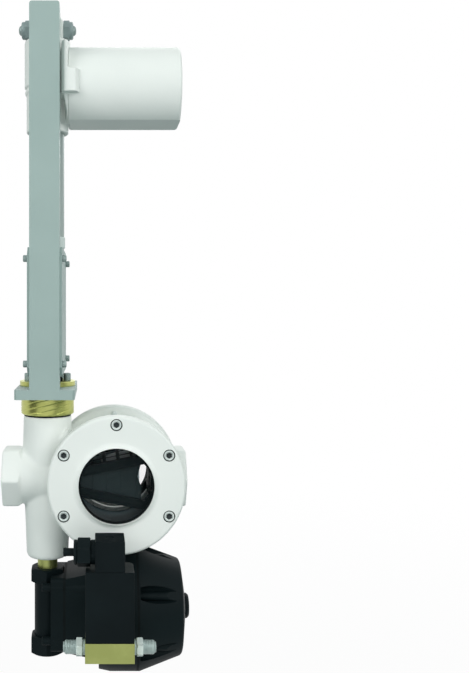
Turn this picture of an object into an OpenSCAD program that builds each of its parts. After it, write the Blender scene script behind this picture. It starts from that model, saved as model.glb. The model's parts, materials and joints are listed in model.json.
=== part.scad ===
// Self-cleaning pipe filter: a cast body with two sight glasses, a linear drive on a yoke above it,
// and a diaphragm drain valve with its pilot solenoid below it.
// The origin is the centre of the inlet mouth, +X is the flow, -Y faces the viewer and +Z is up.

/* [Pipe body] */
// Distance from the inlet mouth to the axis of the upright tube
tube_x = 43.5; // [42.5:0.5:46]
// Distance from the tube's axis to the axis of the sight glasses
chamber_pitch = 67.5; // [67:0.5:70]
// Distance from the axis of the sight glasses to the outlet mouth
outlet_reach = 69; // [68.5:0.5:75]
// Width across the flats of a pipe socket
socket_af = 55; // [52:0.5:58]
// Length of a socket's hexagon
socket_len = 18; // [14:0.5:18]
// Radius of the pipe behind a socket
pipe_r = 27; // [25:0.5:27]
// Core radius of a socket's inner thread
thread_r = 19.5; // [17:0.1:20]
// Depth of a socket's inner thread
thread_len = 17; // [14:0.5:18]
// Radius of the flow passage
port_r = 15; // [14:0.25:15.5]
// Radius of the tube's neck at the top
neck_r = 23.75; // [23.5:0.25:25]
// Height of the neck's top above the pipe axis
neck_top = 60.5; // [58:0.5:64]
// Radius of the tube's tapered foot at its end
foot_r = 20.8; // [20:0.1:22]
// Depth of the tube's foot below the pipe axis
foot_drop = 80; // [80:0.5:88]
// Rounding of the foot's edge
foot_round = 4; // [2:0.5:5]
// Radius of the bore that the spool slides in
bore_r = 17; // [16.5:0.25:17.5]
// Radius of the wider drain space below that bore
drain_space_r = 18; // [17.8:0.1:18.2]

/* [Sight glasses] */
// Radius of a glass flange
flange_r = 65.5; // [65:0.5:66]
// Thickness of a glass flange
flange_t = 11; // [11:0.5:14]
// Thickness of the body's own flange behind it
land_t = 6; // [5:0.5:8]
// Distance from the mid plane to the outside of the body's own flange
land_y = 39; // [38:0.5:42]
// Distance from a flange's rim to the drum between the flanges
drum_step = 15.5; // [15.5:0.5:16]
// Wall of the drum
drum_wall = 4; // [4:0.25:5]
// Distance from a flange's rim to its window
window_rim = 30.7; // [28:0.1:33]
// Bevel of the window's edge
window_bevel = 2.5; // [1:0.25:3]
// Distance from the chamber's wall to a sight glass's edge
glass_inset = 1; // [0.5:0.5:2]
// Thickness of a sight glass
glass_t = 6; // [5:0.5:6]
// Width of the glass gasket
gasket_w = 5; // [4:0.5:6]
// Thickness of the glass gasket
gasket_t = 1; // [0.8:0.1:1.2]
// Distance from a flange's rim to its screw circle
screw_margin = 8.3; // [8:0.1:8.6]
// Number of screws in a flange
flange_screw_n = 6; // [6:2:8]
// Radius of a flange screw
flange_screw_r = 3; // [2.5:0.25:3]
// Radius of a flange screw's head
flange_head_r = 4.8; // [4.5:0.1:5]

/* [Sieve] */
// Wall of the chamber's liner
liner_t = 2; // [1.5:0.25:2.5]
// Distance from the chamber's wall to the sieve's narrow end
sieve_inset = 9; // [9:0.5:12]
// Half the height of the sieve's small end
sieve_small_h = 13.9; // [13:0.1:15]
// Distance from the chamber's wall to the sieve's wide end
sieve_short = 19; // [19:0.5:22]
// Half the height of the sieve's big end
sieve_big_h = 26.7; // [24:0.1:27]
// Gap between the sieve and the end of the liner
sieve_gap = 0.4; // [0.2:0.1:3]
// Radius of the sieve's end plate
sieve_plate_r = 22.5; // [20:0.5:22.5]
// Length of the ribs past the end of the screen
screen_back = 4; // [2:0.5:6]
// Width of a sieve rib
sieve_rib_w = 9.5; // [7:0.5:10]
// Thickness of a sieve rib
sieve_rib_t = 3; // [2:0.25:3.5]
// Thickness of the screen
screen_t = 1; // [0.8:0.1:1.2]

/* [Spool and head] */
// Travel of the drive
stroke = 36; // [30:0.5:36]
// Radius of the spindle
spindle_r = 6; // [5.5:0.25:6.5]
// Radius of the spool's hub
hub_r = 9; // [8.5:0.25:10]
// Height of a spool land
land_h = 8; // [7:0.5:8.5]
// Height of the upper land's underside above the pipe axis
land_up = 34; // [33:0.5:35]
// Depth of the lower land's top below the pipe axis
land_down = 22; // [20:0.5:24]
// Thickness of the head's gasket
head_gasket_t = 1.5; // [1.2:0.1:2.5]
// Radius of the brass head
head_r = 26.2; // [25.5:0.1:27.5]
// Height of the brass head
head_h = 19; // [17:0.5:22]
// Depth of the head's spigot in the neck
spigot_h = 14; // [10:0.5:15]
// Radius of the clamp ring
clamp_r = 27.5; // [27:0.25:28]
// Height of the clamp ring
clamp_h = 4.5; // [4:0.25:6]
// Radius of the clamp screws' circle
clamp_pcd_r = 19.5; // [19.2:0.1:20.5]
// Radius of a clamp screw's head
clamp_head_r = 3.6; // [3.2:0.1:3.8]
// Height of a clamp screw's head
clamp_head_h = 7.5; // [5:0.25:7.5]
// Radius of the rod wiper
wiper_r = 15; // [14:0.25:15.2]
// Height of the wiper above the yoke's plate
wiper_h = 9.5; // [7:0.5:10]

/* [Drive yoke] */
// Width of the yoke's plate
plate_w = 56.6; // [56:0.2:62]
// Depth of the yoke from front to back
yoke_depth = 106; // [104:1:114]
// Thickness of the yoke's plate
plate_t = 9.3; // [8:0.1:12]
// Chamfer of the plate's upright edges
plate_chamfer = 2; // [1:0.25:3]
// Width of a leg
leg_w = 28.4; // [28:0.2:30]
// Thickness of a leg
leg_t = 16; // [14:0.5:18]
// Height of the legs above the plate
leg_h = 364; // [356:1:380]
// Rounding of the legs' top corners
leg_round = 2.5; // [1:0.25:4]
// Width of the head block between the legs
block_w = 24; // [22:0.5:24.5]
// Depth of the cross bolt below the legs' top
bolt_drop = 10; // [9:0.25:12]
// Radius of the cross bolt
bolt_r = 5; // [4:0.25:5.5]
// Width across the flats of the cross bolt's nut
bolt_nut_af = 16; // [14:0.5:17]

/* [Linear drive] */
// Distance from the cross bolt to the top of the gear housing
housing_drop = 12; // [11:0.25:13]
// Thickness of a hanger ear
ear_t = 3.5; // [2.8:0.1:3.5]
// Radius of the gear housing's upper part
gear_r = 22.8; // [22:0.1:24]
// Height of the gear housing's upper part
gear_h = 46.5; // [44:0.5:50]
// Radius of the gear housing's lower part
collar_r = 20.9; // [20:0.1:22]
// Height of the gear housing's lower part
collar_h = 45; // [40:0.5:48]
// Radius of the motor drum
motor_r = 41; // [39:0.25:43]
// Length of the motor drum
motor_len = 108.8; // [100:0.1:116]
// Distance from the gear housing's step to the motor's axis
motor_drop = 1; // [0:0.25:3]
// Distance from the motor's axis to the flat under the drum
motor_flat = 34.6; // [32:0.2:36]
// Rounding of the drum's edges
motor_round = 3; // [1:0.25:4]
// Radius of the guide tube
guide_r = 16.6; // [16:0.1:17.5]
// Wall of the guide tube
guide_wall = 3.5; // [3:0.25:4]
// Length of the guide tube below the gear housing
guide_len = 103; // [98:0.5:104]
// Height of the guide tube's end cap
cap_h = 12; // [10:0.5:16]
// Radius of the end cap
cap_r = 17.5; // [16.8:0.1:18.5]
// Radius of the push rod
rod_r = 10; // [9:0.25:10.5]
// Radius of the rod coupling
coupling_r = 13; // [12.5:0.1:13.2]
// Height of the rod coupling
coupling_h = 30; // [28:0.5:34]

/* [Guards] */
// Thickness of a guard sheet
guard_t = 2.3; // [1.5:0.1:3]
// Step from the yoke's front to the edge of a guard sheet
guard_inset = 2.5; // [1:0.25:3]
// Corner cut of a guard sheet
guard_cut = 8; // [4:0.5:9]
// Distance from a guard screw to the end of its sheet
guard_margin = 11; // [9:0.5:14]
// Radius of a guard screw's head
guard_head_r = 3.3; // [3:0.1:3.8]

/* [Drain valve] */
// Radius of the brass nipple
nipple_r = 9.9; // [9:0.1:10.5]
// Length of the nipple that shows
nipple_len = 10.5; // [9:0.5:14]
// Width across the flats of a union nut
union_af = 31.2; // [30:0.2:31.4]
// Height of the upper union nut
union_h = 14; // [12:0.5:14.5]
// Height of the lower union nut
lower_union_h = 18; // [14:0.5:18]
// Radius of the valve's upright body
valve_r = 12.9; // [12.4:0.1:13.2]
// Distance from the foot's end to the valve's axis
valve_drop = 50; // [50:0.5:54]
// Distance from the valve's axis to the lower end of its body
valve_reach = 45; // [45:0.5:48]
// Half height of the valve's plate
valve_plate_half = 35.5; // [34:0.5:36]
// Half depth of the valve's plate
valve_plate_deep = 28.5; // [28:0.5:30]
// Thickness of the valve's square plate
valve_plate_t = 12; // [11.5:0.25:13]
// Half height between the tie bolts
tie_half = 26; // [25.5:0.25:27]
// Half depth between the tie bolts
tie_deep = 23.5; // [23.25:0.25:24]
// Radius of a tie bolt's head
tie_head_r = 4; // [3.5:0.1:4.5]
// Thickness of the flow diaphragm
flow_diaphragm_t = 2.5; // [2:0.25:3]
// Length of the spacer body
spacer_len = 32; // [31:0.5:36]
// Half height of the spacer body at its wide end
spacer_half = 42.5; // [38:0.5:44]
// Radius of the actuator
actuator_r = 60; // [59:0.5:62]
// Length of the actuator's base
base_len = 36; // [36:0.5:40]
// Thickness of the control diaphragm
control_diaphragm_t = 2; // [1.5:0.25:2.5]
// Length of the bonnet
bonnet_len = 47.5; // [46:0.5:50]
// Radius of the bonnet at its small end
bonnet_end_r = 46.5; // [45.5:0.25:48]
// Radius of the space inside the actuator
actuator_space_r = 37; // [36:0.5:37.5]
// Radius of the actuator screws' circle
actuator_pcd_r = 47; // [46.5:0.25:48]
// Radius of the grooves beside the screw towers
tower_groove_r = 8; // [7:0.5:8.5]
// Radius of a screw tower
tower_r = 4.25; // [4:0.25:5]
// Radius of the valve's stem
stem_r = 4; // [3.5:0.25:4.5]
// Travel of the valve's stem
stem_travel = 8; // [6:0.5:8]
// Radius of the indicator cap
indicator_r = 12; // [11:0.25:13]
// Height of the indicator cap
indicator_h = 4; // [3:0.25:5]

/* [Pilot solenoid] */
// Width of the pilot's brass block
pilot_w = 43; // [42:0.5:46]
// Depth of the pilot from front to back
pilot_depth = 30; // [29:0.5:33]
// Height of the brass block
pilot_h = 17.4; // [17:0.2:20]
// Distance from the tube's axis to the left side of the brass block
pilot_x = 38.7; // [38:0.1:40]
// Distance from the actuator's rim to the back of the brass block
pilot_gap = 20; // [17:0.5:24]
// Height of the coil
coil_h = 61.3; // [58:0.1:64]
// Radius of the core tube inside the coil
core_r = 6.9; // [6:0.1:7.5]
// Travel of the armature
armature_travel = 1.5; // [1:0.1:2]
// Width of the coil's plug
plug_w = 26; // [25:0.5:28]
// Height of the coil's plug
plug_h = 26.5; // [26:0.5:29]
// Radius of the cable gland's nut
gland_r = 13.3; // [12:0.1:13.4]
// Length of the cable gland's nut
gland_len = 15.4; // [14:0.2:18]
// Radius of the blanking pin in the gland
gland_pin_r = 3.2; // [2.5:0.1:4]
// Radius of a tube fitting's body
fitting_r = 6; // [5.5:0.1:6.5]
// Length of a tube fitting
fitting_len = 18; // [17:0.5:20]
// Radius of the tube that a fitting takes
tube_od_r = 3.05; // [2.05:0.05:3.3]

/* [Hidden] */
$fn = 64;
// Clearances
fit = 0.1;
running = 0.08;
soft = 0.3;
over = 1;
// Pipe body
pipe_len = tube_x + chamber_pitch + outlet_reach;
chamber_x = tube_x + chamber_pitch;
mouth_chamfer = 1;
socket_chamfer = 2.5;
tube_r = neck_r - 1.2;
taper_start = -28;
swell_r = neck_r + 0.8;
swell_z = 30;
flange_pcd_r = flange_r - screw_margin;
drum_r = flange_r - drum_step;
chamber_r = drum_r - drum_wall;
window_r = flange_r - window_rim;
glass_r = chamber_r - glass_inset;
bore_floor = -foot_drop + 10;
bore_step = -land_down - land_h - 14;
flange_edge = 3;
head_cut = 6.5;
head_cut_r = flange_head_r + 0.9;
head_sunk = 0.5;
key_r = 2.9;
key_depth = 3;
screw_tip = 1.5;
// Sieve
liner_y = land_y - land_t - fit;
liner_r = chamber_r - fit;
sieve_x0 = chamber_x - chamber_r + sieve_inset;
sieve_len = 2 * chamber_r - sieve_inset - sieve_short;
sieve_deep = liner_y - sieve_gap;
sieve_arm_h = 18;
sieve_ring_h = 3;
sieve_taper = 7;
sieve_hold = 3;
sieve_plate_z = sieve_len + sieve_taper;
sieve_spigot_len = sieve_short - sieve_taper - sieve_ring_h + sieve_hold;
sieve_wall = 4;
screen_len = sieve_len - screen_back;
// Head and spool
head_z = neck_top + head_gasket_t;
plate_z = head_z + head_h;
plate_top = plate_z + plate_t;
clamp_z = plate_top + clamp_h;
wiper_top = plate_top + wiper_h;
skirt_r = 12;
clamp_screw_r = 2.5;
clamp_screw_hold = 10;
clamp_screw_len = plate_t + clamp_h + clamp_screw_hold;
clamp_screw_n = 4;
head_chamfer = 1.5;
wiper_bevel = 5;
wiper_lip = 2;
key_share = 0.6;
seal_section = 1.1;
spool_r = bore_r - running;
seal_groove = 2.5;
seal_ease = 0.05;
seal_r = bore_r - seal_ease - seal_section;
land_low_z = -land_down - land_h;
land_high_z = land_up + land_h;
// Yoke
leg_top = plate_top + leg_h;
bolt_z = leg_top - bolt_drop;
block_z = bolt_z - housing_drop + soft;
gap_depth = yoke_depth - 2 * leg_t;
nut_h = 6.2;
lock_nut_h = 3.6;
bolt_end = 3;
ear_x = block_w / 2 + soft;
nut_x = ear_x + ear_t + fit;
block_cut = 4;
bolt_chamfer = 1.5;
lock_turn = 8;
// Linear drive
housing_top = bolt_z - housing_drop;
step_z = housing_top - gear_h;
housing_z = step_z - collar_h;
motor_z = step_z - motor_drop;
motor_x = tube_x + collar_r + 1;
motor_plate_r = motor_flat - 0.6;
motor_plate_t = 3;
lug_over = 11;
lug_slope_x = 4;
lug_slope_y = 7;
lug_cut_x = 2.3;
lug_cut_y = 4;
web_reach = 6;
web_foot = 1;
web_knee_x = 3.8;
web_knee_z = 17;
lug_out = 6;
lug_low = 13;
lug_high = 9.5;
lug_gap = 1.3;
ear_w = 28;
ear_h = bolt_drop - 1 + housing_drop;
ear_cut = 2.6;
ear_cut_h = 4.5;
back_round = 1;
edge_cut = 1;
guide_end = housing_z - guide_len;
guide_hold = 8;
cap_z = guide_end - cap_h;
cap_spigot = 8;
cap_chamfer = 1.5;
coupling_z = wiper_top + stroke + 10;
coupling_top = coupling_z + coupling_h;
coupling_web = 2;
coupling_hold = (coupling_h - coupling_web) / 2;
pin_r = 2;
coupling_chamfer = 1.5;
pin_short = 0.5;
rod_spare = 30;
rod_top = guide_end + cap_spigot + stroke + rod_spare;
rod_bush_h = 14;
// Guards
guard_depth = yoke_depth - 2 * guard_inset;
guard_lift = 13;
guard_gap = 1;
guard_z = plate_top + guard_lift;
guard_h = cap_z - guard_gap - guard_z;
guard_screw_z = guard_z + guard_margin;
guard_pitch = guard_h - 2 * guard_margin;
guard_screw_r = 2;
guard_screw_hold = 7;
guard_head_h = 4;
leg_mid = yoke_depth / 2 - leg_t / 2;
// Drain valve
foot_z = -foot_drop;
union_z = foot_z - nipple_len - union_h;
valve_z = foot_z - valve_drop;
valve_top = foot_z - nipple_len - 3;
valve_end = valve_z - valve_reach;
nipple_bore = 6.5;
union_chamfer = 3;
relief = 0.5;
relief_r = union_af / sqrt(3) + 1;
plate_round = 4;
port_wall = 5;
socket_r = 10;
socket_deep = 15;
valve_plate_x = tube_x + 4.5;
flow_x = valve_plate_x + valve_plate_t;
spacer_x = flow_x + flow_diaphragm_t;
base_x = spacer_x + spacer_len;
control_x = base_x + base_len;
bonnet_x = control_x + control_diaphragm_t;
bonnet_end = bonnet_x + bonnet_len;
seat_r = 20;
seat_deep = 8;
seat_port = 14;
tie_r = 2.5;
tie_head_h = 8.5;
tie_boss_r = 5.6;
tie_boss_end_r = 7;
tie_hold = 9;
compressor_r = 18;
compressor_h = 8;
compressor_space = compressor_h + stem_travel + 2;
base_chamfer = 11;
base_cone = 2.2;
base_floor = 16;
feed_bore = 2;
actuator_screw_n = 6;
actuator_screw_r = 2.5;
actuator_head_r = 4.2;
actuator_head_h = 4;
tower_hold = 14;
tower_start = 1;
tower_groove_pcd_r = actuator_pcd_r + 7;
plate_disc_r = 30;
lower_disc_h = 5;
upper_disc_h = 4;
bonnet_roof = 7.5;
bonnet_rim = 1.5;
bonnet_edge = 4.5;
bonnet_shoulder = bonnet_len - 9;
indicator_chamfer = 2;
head_sink = 0.5;
stem_end = bonnet_x + upper_disc_h + 12;
spring_r = 26;
spring_wire_r = 1.5;
spring_turns = 5;
spring_x0 = bonnet_x + soft + upper_disc_h + soft + spring_wire_r;
spring_x1 = bonnet_end - bonnet_roof - soft - spring_wire_r;
cap_hole_r = indicator_r - 2;
// Pilot
pilot_left = tube_x + pilot_x;
pilot_mid = pilot_left + pilot_w / 2;
pilot_back = -actuator_r - pilot_gap;
pilot_front = pilot_back - pilot_depth;
pilot_y = (pilot_back + pilot_front) / 2;
pilot_top = valve_z + 7;
pilot_z = pilot_top - pilot_h;
fitting_z = pilot_z + pilot_h / 2;
feed_x = pilot_left + pilot_w - 11;
feed_r = 5;
feed_hold = 8;
pad_out = 6;
feed_pad_r = 9;
coil_top = pilot_top + coil_h;
core_h = coil_h - 10;
core_wall = 2.2;
plug_left = pilot_mid - plug_w / 2 + 0.2;
plug_top = coil_top + plug_h;
gland_z = coil_top + plug_h / 2 + 0.3;
gland_neck_r = 8;
gland_neck = 6;
plug_screw_r = 1.5;
plug_screw_head_r = 3.2;
plug_screw_head_h = 2;
plug_screw_len = 3.5;
plug_screw_sunk = 2.2;
slot_w = 1;
slot_deep = 0.8;
coil_round = 6;
coil_ease = 0.3;
core_plug = 12;
armature_seat = 3;
pilot_pocket = 4;
feed_hex = 13;
gland_ring = 4;
gland_ring_r = gland_r - 2.7;
gland_front = 3.4;
gland_front_r = gland_r - 3.1;
gland_chamfer = 1.5;
pin_hold = 8;
gland_pin_len = 19.2;
pin_chamfer = 0.5;
collar_len = 2.5;
fitting_nut_len = 5.3;
fitting_nut_af = 2 * fitting_r + 3.3;
fitting_hold = 10;
fitting_stub_r = 4;
fitting_bore = 1.5;
collar_step = 0.6;
nut_chamfer = 0.8;
collet_len = 8;
collet_out = 1.4;
collet_r = 4.2;
white = [0.88, 0.91, 0.89];
grey = [0.62, 0.69, 0.67];
brass = [0.66, 0.68, 0.38];
steel = [0.5, 0.54, 0.54];
black = [0.1, 0.12, 0.12];
rubber = [0.06, 0.06, 0.06];

// Points of an arc about [cx, cy], from angle a0 to a1
function arc(cx, cy, r, a0, a1, n = 6) =
    [for (i = [0:n]) let (a = a0 + (a1 - a0) * i / n) [cx + r * cos(a), cy + r * sin(a)]];

// Place a shape whose own Z runs along +X, starting at x on the height z
module along_x(x, z = 0, y = 0) {
    translate([x, y, z]) rotate([0, 90, 0]) children();
}

// Place a shape whose own Z runs along -X
module along_minus_x(x, z = 0, y = 0) {
    translate([x, y, z]) rotate([0, -90, 0]) children();
}

// Place a shape whose own Z runs along +Y
module along_y(y, x = 0, z = 0) {
    translate([x, y, z]) rotate([-90, 0, 0]) children();
}

// Place a shape on the front flange's seat, its own Z towards the viewer
module at_front() {
    translate([chamber_x, -land_y, 0]) rotate([90, 0, 0]) children();
}

// Place a shape on the rear flange's seat, its own Z away from the viewer
module at_rear() {
    translate([chamber_x, land_y, 0]) rotate([-90, 0, 0]) children();
}

// Copies round the Z axis on a circle of radius r
module polar(n, r, start = 0) {
    for (i = [0:n - 1]) rotate([0, 0, start + i * 360 / n]) translate([r, 0, 0]) children();
}

// Copies at the places of the four tie bolts in the local X and Y
module at_ties() {
    for (x = [-tie_half, tie_half], y = [-tie_deep, tie_deep]) translate([x, y, 0]) children();
}

module ring(r_out, r_in, h) {
    difference() {
        cylinder(r = r_out, h = h);
        translate([0, 0, -over]) cylinder(r = r_in, h = h + 2 * over);
    }
}

// Hexagon bar with a corner on the local Y axis and chamfered ends
module hexagon(af, h, low = 0, high = 0) {
    corner_r = af / sqrt(3);
    intersection() {
        rotate([0, 0, 30]) cylinder(r = corner_r, h = h, $fn = 6);
        rotate_extrude() polygon([[0, 0], [corner_r + 0.2 - low, 0], [corner_r + 0.2, low * 0.6],
            [corner_r + 0.2, h - high * 0.6], [corner_r + 0.2 - high, h], [0, h]]);
    }
}

// Cap screw with its head's seat at z = 0 and its shank downwards
module cap_screw(r, length, head_r, head_h, key) {
    difference() {
        union() {
            translate([0, 0, -length]) cylinder(r = r, h = length + head_h / 2);
            cylinder(r = head_r, h = head_h);
        }
        translate([0, 0, head_h - key_depth]) cylinder(r = key, h = key_depth + over, $fn = 6);
    }
}

module pipe_socket() {
    hexagon(socket_af, socket_len, mouth_chamfer, socket_chamfer);
}

module upright_tube() {
    translate([tube_x, 0, 0]) rotate_extrude() polygon(concat(
        [[0, foot_z]],
        arc(foot_r - foot_round, foot_z + foot_round, foot_round, -90, 0),
        [[tube_r, taper_start], [swell_r, swell_z], [neck_r, neck_top], [0, neck_top]]));
}

module filter_body() {
    color(white) difference() {
        union() {
            along_x(0) pipe_socket();
            along_minus_x(pipe_len) pipe_socket();
            along_x(socket_len - over) cylinder(r = pipe_r, h = pipe_len - 2 * (socket_len - over));
            upright_tube();
            along_y(-land_y, chamber_x) cylinder(r = drum_r, h = 2 * land_y);
            along_y(-land_y, chamber_x) cylinder(r = flange_r, h = land_t);
            along_y(land_y - land_t, chamber_x) cylinder(r = flange_r, h = land_t);
        }
        along_x(-over) cylinder(r = thread_r, h = thread_len + over);
        along_minus_x(pipe_len + over) cylinder(r = thread_r, h = thread_len + over);
        along_x(over) cylinder(r = port_r, h = pipe_len - 2 * over);
        translate([tube_x, 0, bore_step]) cylinder(r = bore_r, h = neck_top - bore_step + over);
        translate([tube_x, 0, bore_floor]) cylinder(r = drain_space_r, h = bore_step - bore_floor);
        translate([tube_x, 0, foot_z - over])
            cylinder(r = nipple_r + fit, h = bore_floor - foot_z + 2 * over);
        along_y(-land_y + land_t, chamber_x) cylinder(r = chamber_r, h = 2 * (land_y - land_t));
        along_y(-land_y - over, chamber_x) cylinder(r = glass_r - gasket_w, h = 2 * (land_y + over));
        at_front() flange_holes(flange_screw_r + fit);
        at_rear() flange_holes(flange_screw_r + fit);
    }
}

// Drillings of a flange's screw circle, through the body's own flange
module flange_holes(r) {
    polar(flange_screw_n, flange_pcd_r, 90) translate([0, 0, -land_t - over])
        cylinder(r = r, h = land_t + 2 * over);
}

module glass_flange() {
    pocket = glass_t + gasket_t;
    difference() {
        rotate_extrude() polygon(concat(
            [[glass_r + fit, 0]],
            [[flange_r, 0]],
            arc(flange_r - flange_edge, flange_t - flange_edge, flange_edge, 0, 90),
            [[window_r + window_bevel, flange_t], [window_r, flange_t - window_bevel],
                [window_r, pocket], [glass_r + fit, pocket]]));
        polar(flange_screw_n, flange_pcd_r, 90) translate([0, 0, -over])
            cylinder(r = flange_screw_r + 3 * fit, h = flange_t + 2 * over);
        polar(flange_screw_n, flange_pcd_r, 90) translate([0, 0, flange_t - head_cut])
            cylinder(r = head_cut_r, h = head_cut + over);
    }
}

module front_flange() {
    color(white) at_front() glass_flange();
}

module rear_flange() {
    color(white) at_rear() glass_flange();
}

module sight_glass() {
    translate([0, 0, gasket_t]) cylinder(r = glass_r, h = glass_t);
}

module front_glass() {
    color("lightcyan", 0.4) at_front() sight_glass();
}

module rear_glass() {
    color("lightcyan", 0.4) at_rear() sight_glass();
}

module glass_gaskets() {
    color(rubber) {
        at_front() ring(glass_r, glass_r - gasket_w, gasket_t);
        at_rear() ring(glass_r, glass_r - gasket_w, gasket_t);
    }
}

module flange_screw_set() {
    grip = flange_t - head_cut + land_t + screw_tip;
    polar(flange_screw_n, flange_pcd_r, 90) translate([0, 0, flange_t - head_cut])
        cap_screw(flange_screw_r, grip, flange_head_r, head_cut - head_sunk, key_r);
}

module flange_screws() {
    color(steel) {
        at_front() flange_screw_set();
        at_rear() flange_screw_set();
    }
}

module chamber_liner() {
    color(black) difference() {
        along_y(-liner_y, chamber_x) ring(liner_r, liner_r - liner_t, 2 * liner_y);
        along_x(chamber_x - chamber_r - over) cylinder(r = port_r, h = 2 * (chamber_r + over));
    }
}

// Wall of the sieve's cone between two depths under its outside
module sieve_wedge(low, high, depth, back) {
    translate([sieve_x0, depth / 2, 0]) rotate([90, 0, 0]) linear_extrude(depth) polygon([[-back, -low],
        [sieve_len + back, -high], [sieve_len + back, high], [-back, low]]);
}

module sieve_rib(side, y) {
    translate([sieve_x0, y, 0]) rotate([90, 0, 0]) linear_extrude(sieve_rib_t) polygon([
        [0, side * sieve_small_h], [sieve_len, side * sieve_big_h], [sieve_plate_z + over, side * sieve_arm_h],
        [sieve_plate_z + over, side * (sieve_arm_h - sieve_rib_w)], [sieve_len, side * (sieve_big_h - sieve_rib_w)],
        [0, side * (sieve_small_h - sieve_rib_w)]]);
}

module sieve_cage() {
    color(black) union() {
        difference() {
            translate([sieve_x0, -sieve_deep, -sieve_small_h])
                cube([sieve_ring_h, 2 * sieve_deep, 2 * sieve_small_h]);
            translate([sieve_x0 - over, sieve_rib_t - sieve_deep, sieve_rib_t - sieve_small_h])
                cube([sieve_ring_h + 2 * over, 2 * (sieve_deep - sieve_rib_t), 2 * (sieve_small_h - sieve_rib_t)]);
        }
        for (side = [-1, 1], y = [-sieve_deep + sieve_rib_t, sieve_deep]) sieve_rib(side, y);
        for (side = [-1, 1]) translate([sieve_x0 + sieve_plate_z - over, -sieve_deep,
            side * (sieve_arm_h - sieve_rib_w / 2) - sieve_rib_w / 2])
            cube([sieve_ring_h + over, 2 * sieve_deep, sieve_rib_w]);
        along_x(sieve_x0 + sieve_plate_z) ring(sieve_plate_r, port_r - sieve_wall, sieve_ring_h);
        along_x(sieve_x0 + sieve_plate_z + over) ring(port_r - fit, port_r - sieve_wall,
            sieve_ring_h + sieve_spigot_len - over);
    }
}

module sieve_screen() {
    outer = sieve_deep - sieve_rib_t - fit;
    color(steel) intersection() {
        difference() {
            sieve_wedge(sieve_small_h, sieve_big_h, 2 * outer, 0);
            sieve_wedge(sieve_small_h - screen_t, sieve_big_h - screen_t, 2 * (outer - screen_t), over);
        }
        translate([sieve_x0 + sieve_ring_h + fit, -sieve_deep, -sieve_big_h])
            cube([screen_len - sieve_ring_h - fit, 2 * sieve_deep, 2 * sieve_big_h]);
    }
}

module head_gasket() {
    color(rubber) translate([tube_x, 0, neck_top]) ring(neck_r - 0.4, bore_r + 2 * fit, head_gasket_t);
}

module brass_head() {
    color(brass) translate([tube_x, 0, head_z]) difference() {
        union() {
            rotate_extrude() polygon([[0, 0], [head_r - head_chamfer, 0], [head_r, head_chamfer],
                [head_r, head_h], [0, head_h]]);
            translate([0, 0, -spigot_h]) cylinder(r = bore_r - fit, h = spigot_h + over);
        }
        translate([0, 0, -spigot_h - over])
            cylinder(r = spindle_r + running, h = head_h + spigot_h + 2 * over);
        polar(clamp_screw_n, clamp_pcd_r) translate([0, 0, head_h - clamp_screw_hold - over])
            cylinder(r = clamp_screw_r + fit, h = clamp_screw_hold + 2 * over);
    }
}

module clamp_ring() {
    color(brass) translate([tube_x, 0, plate_top]) difference() {
        ring(clamp_r, wiper_r + fit, clamp_h);
        polar(clamp_screw_n, clamp_pcd_r) translate([0, 0, -over])
            cylinder(r = clamp_screw_r + 2 * fit, h = clamp_h + 2 * over);
    }
}

module clamp_screws() {
    color(grey) translate([tube_x, 0, clamp_z]) polar(clamp_screw_n, clamp_pcd_r)
        cap_screw(clamp_screw_r, clamp_screw_len, clamp_head_r, clamp_head_h, clamp_head_r * key_share);
}

module rod_wiper() {
    color(rubber) translate([tube_x, 0, plate_z]) difference() {
        union() {
            cylinder(r = skirt_r - fit, h = plate_t + over);
            translate([0, 0, plate_t]) rotate_extrude() polygon([[0, 0], [wiper_r, 0],
                [wiper_r, wiper_h - wiper_lip], [wiper_r - wiper_bevel, wiper_h], [0, wiper_h]]);
        }
        translate([0, 0, -over]) cylinder(r = spindle_r + running, h = plate_t + wiper_h + 2 * over);
    }
}

module spindle() {
    color(steel) difference() {
        translate([tube_x, 0, land_low_z])
            cylinder(r = spindle_r, h = coupling_z + coupling_hold - land_low_z);
        along_y(-coupling_r, tube_x, coupling_z + coupling_hold / 2)
            cylinder(r = pin_r + fit, h = 2 * coupling_r);
    }
}

module seal_groove_cut(z) {
    translate([0, 0, z + (land_h - seal_groove) / 2])
        ring(bore_r + over, seal_r - seal_section - seal_ease, seal_groove);
}

module spool() {
    color(brass) translate([tube_x, 0, 0]) difference() {
        union() {
            translate([0, 0, land_low_z]) cylinder(r = hub_r, h = land_high_z - land_low_z);
            translate([0, 0, land_low_z]) cylinder(r = spool_r, h = land_h);
            translate([0, 0, land_up]) cylinder(r = spool_r, h = land_h);
        }
        seal_groove_cut(land_low_z);
        seal_groove_cut(land_up);
        translate([0, 0, land_low_z - over])
            cylinder(r = spindle_r + fit, h = land_high_z - land_low_z + 2 * over);
    }
}

module spool_seals() {
    color(rubber) for (z = [land_low_z, land_up]) translate([tube_x, 0, z + land_h / 2])
        rotate_extrude() translate([seal_r, 0]) circle(r = seal_section, $fn = 24);
}

// Leg with rounded top corners, drawn from its front face backwards
module leg() {
    w = leg_w / 2;
    linear_extrude(leg_t) polygon(concat([[-w, 0], [w, 0]],
        arc(w - leg_round, leg_h - leg_round, leg_round, 0, 90),
        arc(-w + leg_round, leg_h - leg_round, leg_round, 90, 180)));
}

module guard_drillings(r, depth) {
    for (y = [-leg_mid, leg_mid], z = [guard_screw_z, guard_screw_z + guard_pitch]) {
        along_x(tube_x + leg_w / 2 - depth, z, y) cylinder(r = r, h = depth + guard_t + over);
        along_minus_x(tube_x - leg_w / 2 + depth, z, y) cylinder(r = r, h = depth + guard_t + over);
    }
}

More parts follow.
